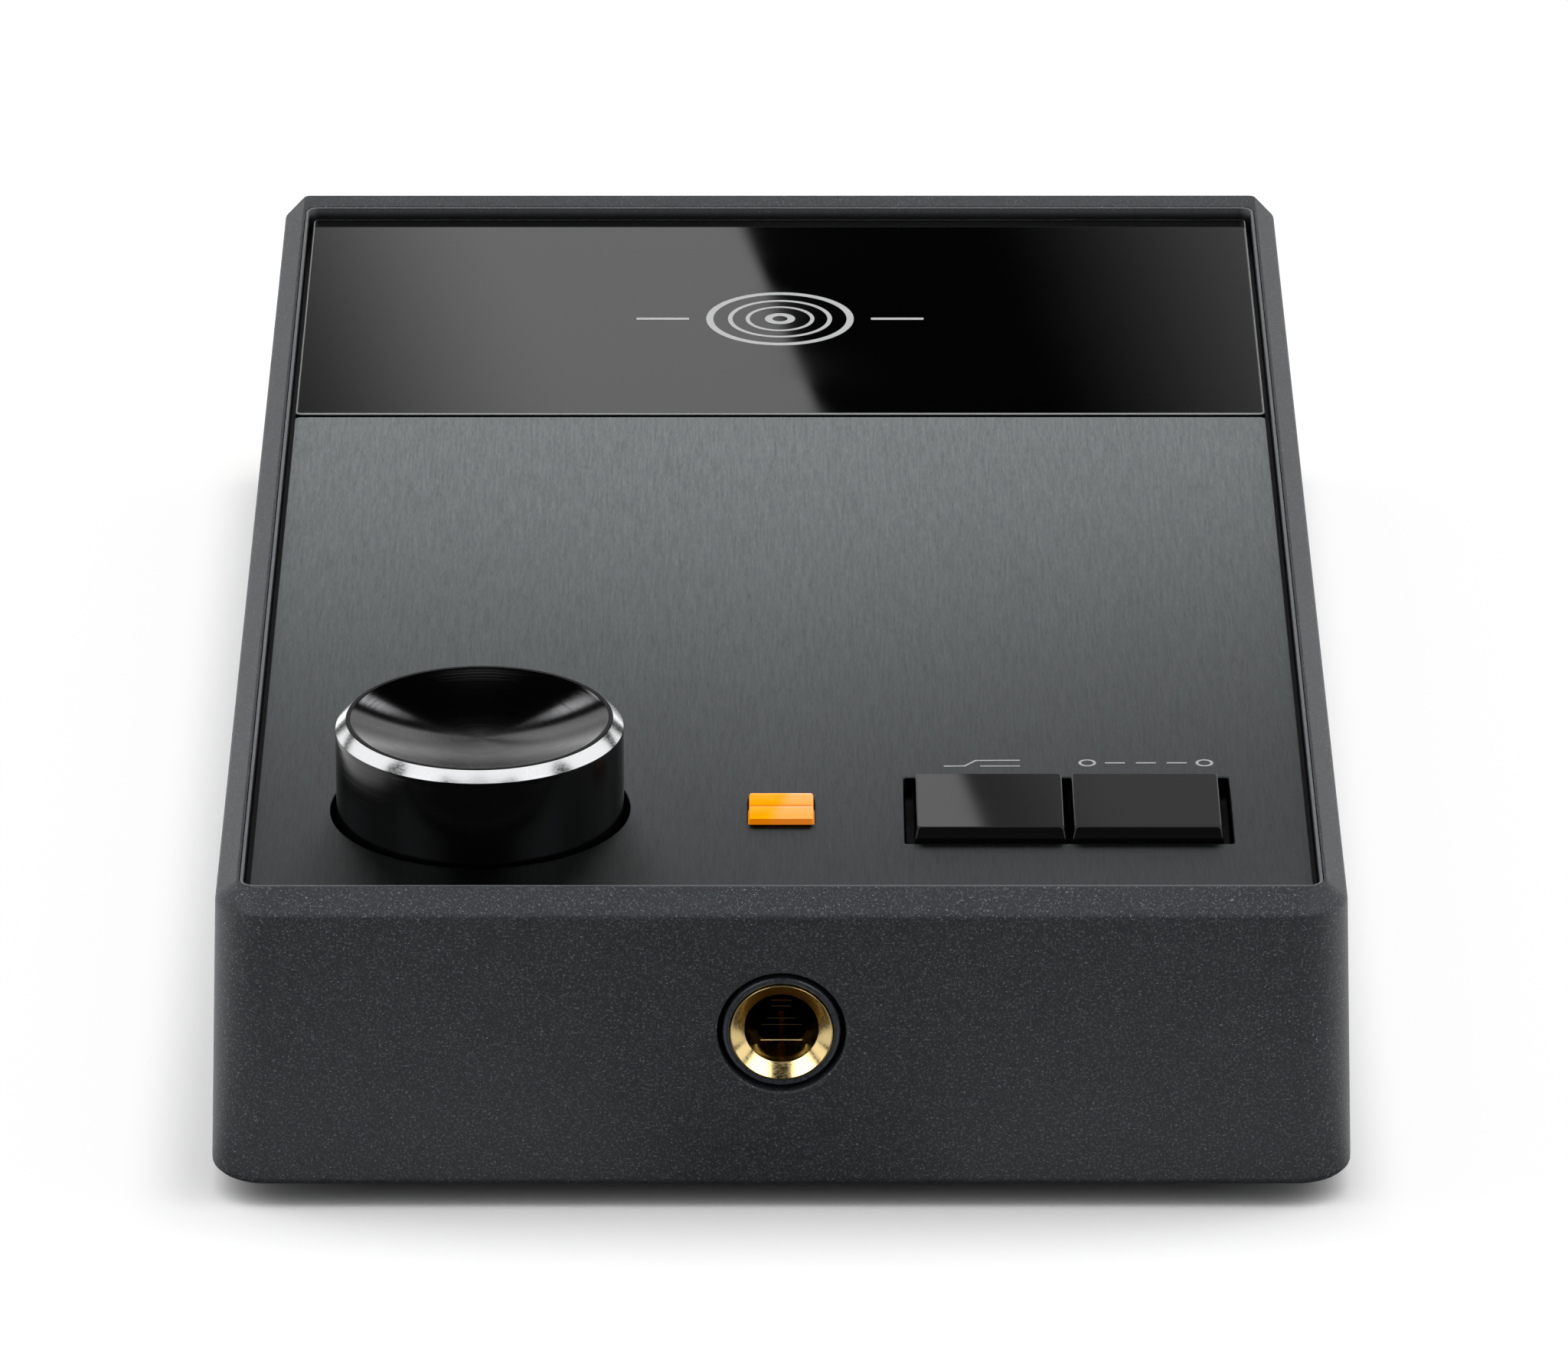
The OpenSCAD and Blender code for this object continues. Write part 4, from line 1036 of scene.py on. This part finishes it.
def build_button(node, side):
    """A hollow gloss cap with leaning flanks; side is -1 for left and 1 for right."""
    low, high = case_box(node)
    top = high.z
    plate_z = case_box("top_plate")[0].z
    lip_low = plate_z - BUTTON_LIP_DROP
    lip_top = lip_low + BUTTON_LIP_T
    inner_x = high.x if side < 0 else low.x
    half_w = BUTTON_W / 2
    half_d = (high.y - low.y) / 2 - BUTTON_LIP_END
    x = inner_x + side * (half_w + BUTTON_FLANK)
    y = (low.y + high.y) / 2
    lean_w, lean_d = half_w + BUTTON_FLANK, half_d + BUTTON_FLANK

    def level(w, d, r, z, size):
        return square_ring(x, y, w, d, r, z), size

    def lip_level(z, size):
        x0, x1 = sorted((inner_x, x + side * (lean_w + BUTTON_LIP_SIDE)))
        return rounded_rect(x0, low.y, x1, high.y, 0.2, None, z, 6), size

    stack = [
        level(half_w - BUTTON_WALL, half_d - BUTTON_WALL, 0.2, top - BUTTON_TOP_T, 0),
        level(half_w - BUTTON_WALL, half_d - BUTTON_WALL, 0.2, lip_low, 0),
        lip_level(lip_low, 0.1), lip_level(lip_top, 0.1),
        level(lean_w, lean_d, 0.2, lip_top, 0),
        level(lean_w, lean_d, 0.22, top - BUTTON_FLANK_H, 0.3),
        level(half_w + 0.06, half_d, 0.3, top, 0.1),
        level(half_w - 0.05, half_d - 0.11, 0.3, top, 0),
        level(half_w - 0.12, half_d - 0.18, 0.25, top, 0),
    ]
    rings = soften([ring for ring, _ in stack], [size for _, size in stack], closed=False)
    matte = [1 if ring[0].z < plate_z + 0.3 else 0 for ring in rings]
    bm = bmesh.new()
    add_loft(bm, rings, materials=matte)
    socket_top = top - BUTTON_TOP_T + 0.05
    profile = fillet([(SOCKET_BORE_R, low.z, 0), (SOCKET_R, low.z, 0.15),
                      (SOCKET_R, socket_top, 0), (SOCKET_BORE_R, socket_top, 0)])
    add_lathe(bm, profile, Vector((x, y, 0)), "z", 48)
    replace_node(bm, node, "button_gloss", body=node + "_body", sharp=60,
                 materials=[PAINT["button_gloss"], PAINT["insert_black"]])


SPRING_WIRE_R = 0.25
SPRING_TURNS = 6


def build_spring(node):
    """A button's return spring: a coil of round wire."""
    low, high = case_box(node)
    centre = (low + high) / 2
    coil_r = half_width(node) - SPRING_WIRE_R
    start, end = low.z + SPRING_WIRE_R, high.z - SPRING_WIRE_R
    steps = 36 * SPRING_TURNS
    path = []
    for k in range(steps + 1):
        a = 2 * math.pi * SPRING_TURNS * k / steps
        path.append(Vector((centre.x + coil_r * math.cos(a), centre.y + coil_r * math.sin(a),
                            start + (end - start) * k / steps)))
    bm = bmesh.new()
    sweep(bm, path, SPRING_WIRE_R, 12)
    spring = replace_node(bm, node, "spring_steel")
    tuple(to_row(centre.x, centre.y, low.z))
    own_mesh(spring)


# ---------- headphone socket

JACK_BORE_R = 3.28
FLARE_DEPTH = 1.05
# Depth, height from the bore's axis, half width and wire radius of each ridge
CONTACT_RIDGES = ((3.8, -2.37, 1.85, 0.035), (7.0, -2.32, 1.8, 0.03),
                  (7.8, -2.05, 1.3, 0.025), (9.2, -1.5, 0.9, 0.03))


def build_socket():
    """The gold sleeve with its flared mouth, and the dark collar round it."""
    low, high = case_box("jack_sleeve")
    origin = Vector((0, 0, (low.z + high.z) / 2))
    r = half_width("jack_sleeve")
    profile = fillet([(JACK_BORE_R, high.y, 0), (JACK_BORE_R, FLARE_DEPTH, 0.12),
                      (r - 0.12, 0.02, 0.1), (r - 0.02, 0.0, 0.1), (r, 0.6, 0.1),
                      (r, high.y, 0)], 6)
    bm = bmesh.new()
    add_lathe(bm, profile, origin, "y", 160)
    replace_node(bm, "jack_sleeve", "gold", sharp=40)

    low, high = case_box("jack_collar")
    collar_r = half_width("jack_collar")
    profile = fillet([(r + 0.05, high.y, 0), (r + 0.05, low.y, 0.18),
                      (collar_r, low.y, 0.34), (collar_r, high.y, 0)], 7)
    bm = bmesh.new()
    add_lathe(bm, profile, origin, "y", 160)
    replace_node(bm, "jack_collar", "collar_dark", sharp=40)


@finish
def contact_ridge_painted_glint(t):
    """Gold with a painted glint: the first ridge glows faintly to the camera, and the others are
    painted darker, as shade deep in the bore.
    """
    behind_first = to_row(0, 5.4, 0).y
    colour = t.mix(t.noise(1800, 2.0), (0.62, 0.5, 0.2), (0.85, 0.72, 0.36))
    # first is 1 on the first ridge, which gets the painted glint, and small behind it, where the
    # colour turns to painted shade.
    first = t.ramp(t.place()[1], behind_first - 0.4 * MM, behind_first + 0.4 * MM, 1.0, 0.04)
    return principled(t, base_color=t.mix(first, (0.05, 0.04, 0.02), colour),
                      metallic=1.0, roughness=0.3, emission_color=colour,
                      emission_strength=t.times(t.times(first, 0.5), t.ray_is("Camera")))


def build_contact_edges():
    """The ridges of the leaf contacts that reach into the bore."""
    axis_z = middle("jack_sleeve").z
    bm = bmesh.new()
    for depth, height, reach, thick in CONTACT_RIDGES:
        path = [Vector((reach * (k / 6 - 1), depth, axis_z + height)) for k in range(13)]
        sweep(bm, path, thick, 8)
    add_piece(bm, "socket_contact_edges", "gold", materials=[contact_ridge_painted_glint])


# ---------- feet

FOOT_R = 6.0


def build_feet():
    low, high = case_box("feet")
    tread = low.z + 0.12
    profile = fillet([(0, low.z, 0), (FOOT_R - 2.2, low.z, 0.4), (FOOT_R - 1.9, tread, 0.3),
                      (FOOT_R - 0.9, tread, 0.3), (FOOT_R - 0.35, low.z + 0.5, 0.35),
                      (FOOT_R, high.z, 0), (0, high.z, 0)])
    bm = bmesh.new()
    for x in (low.x + FOOT_R, high.x - FOOT_R):
        for y in (low.y + FOOT_R, high.y - FOOT_R):
            add_lathe(bm, profile, Vector((x, y, 0)), "z", 72, closed=False)
    replace_node(bm, "feet", "foot_rubber", sharp=40)


# ---------- CAD nodes that stay

def dress_cad_nodes():
    """Every CAD node takes the finished material of its slot, and softer edges."""
    for part in frame["record"]["subparts"]:
        node = frame["nodes"][part["node"]]
        node.data.materials.clear()
        node.data.materials.append(PAINT[part["material_slot"]])
        if node.hide_render:
            continue
        weld = node.modifiers.new("join", "WELD")
        weld.merge_threshold = 1e-6
        edge = node.modifiers.new("edges", "BEVEL")
        edge.width = 0.08 * MM
        edge.segments = 2
        edge.limit_method = "ANGLE"
        edge.angle_limit = math.radians(50)
        edge.harden_normals = True


# ---------- stage

CAM_RIGHT = 0.34
CAM_FRONT = 980.0
CAM_UP = 459.9
CAM_DOWN = 22.77
CAM_YAW = -0.08
CAM_ROLL = 0.023
LENS = 279.3
SENSOR = 36.0
FILL_LOW = 0.08
FILL_HIGH = 0.45
BAND = 2.0
BAND_BACK = 0.06
BAND_HALF = 0.15
BAND_SOFT = 0.5


def build_camera():
    data = bpy.data.cameras.new("camera")
    data.lens = LENS
    data.sensor_width = SENSOR
    data.clip_start = 0.05
    data.clip_end = 20
    camera = bpy.data.objects.new("camera", data)
    orbit = Matrix.Rotation(math.radians(CAM_YAW), 3, "Z")
    tilt = Matrix.Rotation(math.radians(90 - CAM_DOWN), 3, "X")
    roll = Matrix.Rotation(math.radians(CAM_ROLL), 3, "Z")
    camera.location = orbit @ to_row(CAM_RIGHT, -CAM_FRONT, CAM_UP)
    camera.rotation_euler = (orbit @ tilt @ roll).to_euler()
    bpy.context.scene.collection.objects.link(camera)
    bpy.context.scene.camera = camera


@finish
def floor_paper(t):
    """Pale paper for the camera, grey paper for diffuse rays, and for mirror rays a dim
    floor that is lit at the object's sides and in a strip in front of it."""
    front = to_row(0, 0, 0).y
    x, y, _ = t.place()
    distance = t.add("VectorMath", {0: t.where()}, operation="LENGTH").outputs["Value"]
    across = t.size(x)
    diffuse = t.ray_is("Diffuse")
    paper = t.mix(t.noise(400, 2.0), (0.955, 0.955, 0.955), (0.975, 0.975, 0.975))
    colour = t.mix(diffuse, paper, (0.62, 0.62, 0.62))
    lit_paper = t.add("BsdfDiffuse", {"Color": colour}).outputs[0]
    beside = t.ramp(t.size(t.plus(x, 1.5 * MM)), 50.5 * MM, 58 * MM, 0.0, 0.9)
    far = t.larger(t.ramp(distance, 0.11, 0.3), beside)
    far = t.times(far, t.less(1.0, diffuse))
    seen = t.add("MixShader", {0: far, 1: lit_paper, 2: t.glow(1.0)}).outputs[0]
    angle = t.math("ARCTAN2", across, t.plus(y, 70 * MM))
    strip = t.hill(y, front - 50 * MM, front - 30 * MM, front - 4.5 * MM, front - 2 * MM)
    strip = t.times(t.times(strip, 0.7), t.ramp(across, 6 * MM, 18 * MM))
    side = t.larger(t.ramp(angle, 1.95, 1.7, 0.02, 1.3), strip)
    return t.add("MixShader", {0: t.ray_is("Glossy"), 1: seen, 2: t.glow(side)}).outputs[0]


def build_floor():
    bm = bmesh.new()
    bmesh.ops.create_circle(bm, cap_ends=True, segments=64, radius=6)
    floor = mesh_object(bm, "floor", [floor_paper])
    floor.location.z = cad_low.z - 0.1 * MM


def spot(t, direction, azimuth, elevation, radius, soft):
    """1 inside a round patch of sky, 0 outside it."""
    a, e = math.radians(azimuth), math.radians(elevation)
    aim = (math.sin(a) * math.cos(e), math.cos(a) * math.cos(e), math.sin(e))
    dot = t.add("VectorMath", {0: direction, 1: aim}, operation="DOT_PRODUCT")
    return t.ramp(dot.outputs["Value"], math.cos(math.radians(radius + soft)),
                  math.cos(math.radians(radius)))


def back_sky(t, wide, azimuth, elevation):
    """A white backdrop whose upper part has a dark slanting gap, and lit walls at its sides."""
    backdrop = t.ramp(wide, 21.5, 25.5, 1.0, 0.0)
    upper = t.ramp(elevation, 15, 18.5)
    edge = t.scale_shift(t.less(elevation, 20.58), 0.434, -0.146)
    past_edge = t.less(azimuth, edge)
    lit = t.ramp(past_edge, -0.03, 0.03, 1.0, 0.0, smooth=False)
    fall = t.plus(t.ramp(past_edge, -2.75, -1.15, 0.12, 0.84),
                  t.ramp(past_edge, -6.0, -3.2, 0.8, 0.0))
    high_glow = t.times(t.ramp(elevation, 22.4, 23.1), t.ramp(past_edge, 0.0, 0.8, 0.1, 0.28))
    right = t.plus(t.ramp(past_edge, 1.15, 4.6, 0.0, 0.85), high_glow)
    gap = t.plus(t.times(lit, fall), t.times(t.less(1.0, lit), right))
    gap = t.times(gap, t.ramp(elevation, 23.4, 26.0, 1.0, 0.0))
    low = t.times(t.less(1.0, upper), t.ramp(elevation, 2, 18, 1.15, 0.45))
    backdrop = t.times(backdrop, t.scale_shift(gap, upper, low))
    walls = t.times(t.hill(wide, 29, 36, 128, 140), t.ramp(elevation, 15.5, 18, 1.0, 0.0))
    return t.plus(backdrop, walls)


def mirror_sky(t, direction, azimuth, elevation):
    """What shiny surfaces see: soft boxes with dark gaps between them."""
    wide = t.size(azimuth)
    side_box = t.times(t.hill(wide, 42, 47, 128, 140), t.ramp(elevation, 20, 23))
    front_box = t.times(t.hill(wide, 108, 118, 150, 160), t.hill(elevation, 21, 27, 50, 58))
    box = t.larger(side_box, t.ramp(elevation, 63, 67))
    box = t.larger(box, t.times(front_box, 3.0))
    for side in (-1, 1):
        gap = spot(t, direction, side * 90, 48, 4.0, 3.5)
        box = t.times(box, t.scale_shift(gap, -0.96, 1.0))
        streak = spot(t, direction, side * 17, 33, 1.8, 2)
        box = t.scale_shift(streak, 4.0, box)
    dull = spot(t, direction, 180, 67, 3, 4)
    box = t.times(box, t.scale_shift(dull, -0.25, 1.0))
    front_low = t.times(t.ramp(wide, 150, 165, 0.0, 0.06), t.ramp(elevation, 12, 16, 1.0, 0.0))
    box = t.plus(box, front_low)
    return t.plus(t.plus(box, back_sky(t, wide, azimuth, elevation)), 0.004)


def build_world():
    """White for the camera, soft boxes for mirror rays, and for diffuse rays a band of light
    overhead from side to side with a dimmer front and back."""
    world = bpy.data.worlds.new("studio")
    world.use_nodes = True
    world.cycles.sampling_method = "NONE"
    bpy.context.scene.world = world
    t = Tree(world.node_tree)
    direction = t.add("TexCoord").outputs["Generated"]
    x, y, z = t.add("SeparateXYZ", {0: direction}).outputs
    azimuth = t.times(t.math("ARCTAN2", x, y), math.degrees(1))
    elevation = t.times(t.math("ARCSINE", z), math.degrees(1))
    from_band = t.size(t.less(y, BAND_BACK))
    low_fill = t.ramp(z, 0.1, 0.6, FILL_LOW, FILL_HIGH)
    fill = t.plus(t.ramp(from_band, BAND_SOFT, BAND_HALF, 0.0, BAND), low_fill)
    mirror = mirror_sky(t, direction, azimuth, elevation)
    seen = t.choose(t.ray_is("Diffuse"), mirror, fill)
    seen = t.choose(t.ray_is("Camera"), seen, 1.0)
    background = t.add("Background", {"Color": (1, 1, 1), "Strength": seen})
    t.add("OutputWorld", {"Surface": background.outputs[0]})


def build_stage():
    build_camera()
    build_floor()
    build_world()
    view = bpy.context.scene.view_settings
    view.view_transform = "Standard"
    view.look = "None"


# ---------- assembly

build_case()
build_bosses()
build_frame()
build_panels()
build_marks()
build_knob()
build_lens()
build_button("left_button", -1)
build_button("right_button", 1)
build_spring("left_spring")
build_spring("right_spring")
build_socket()
build_contact_edges()
build_feet()
dress_cad_nodes()
build_stage()
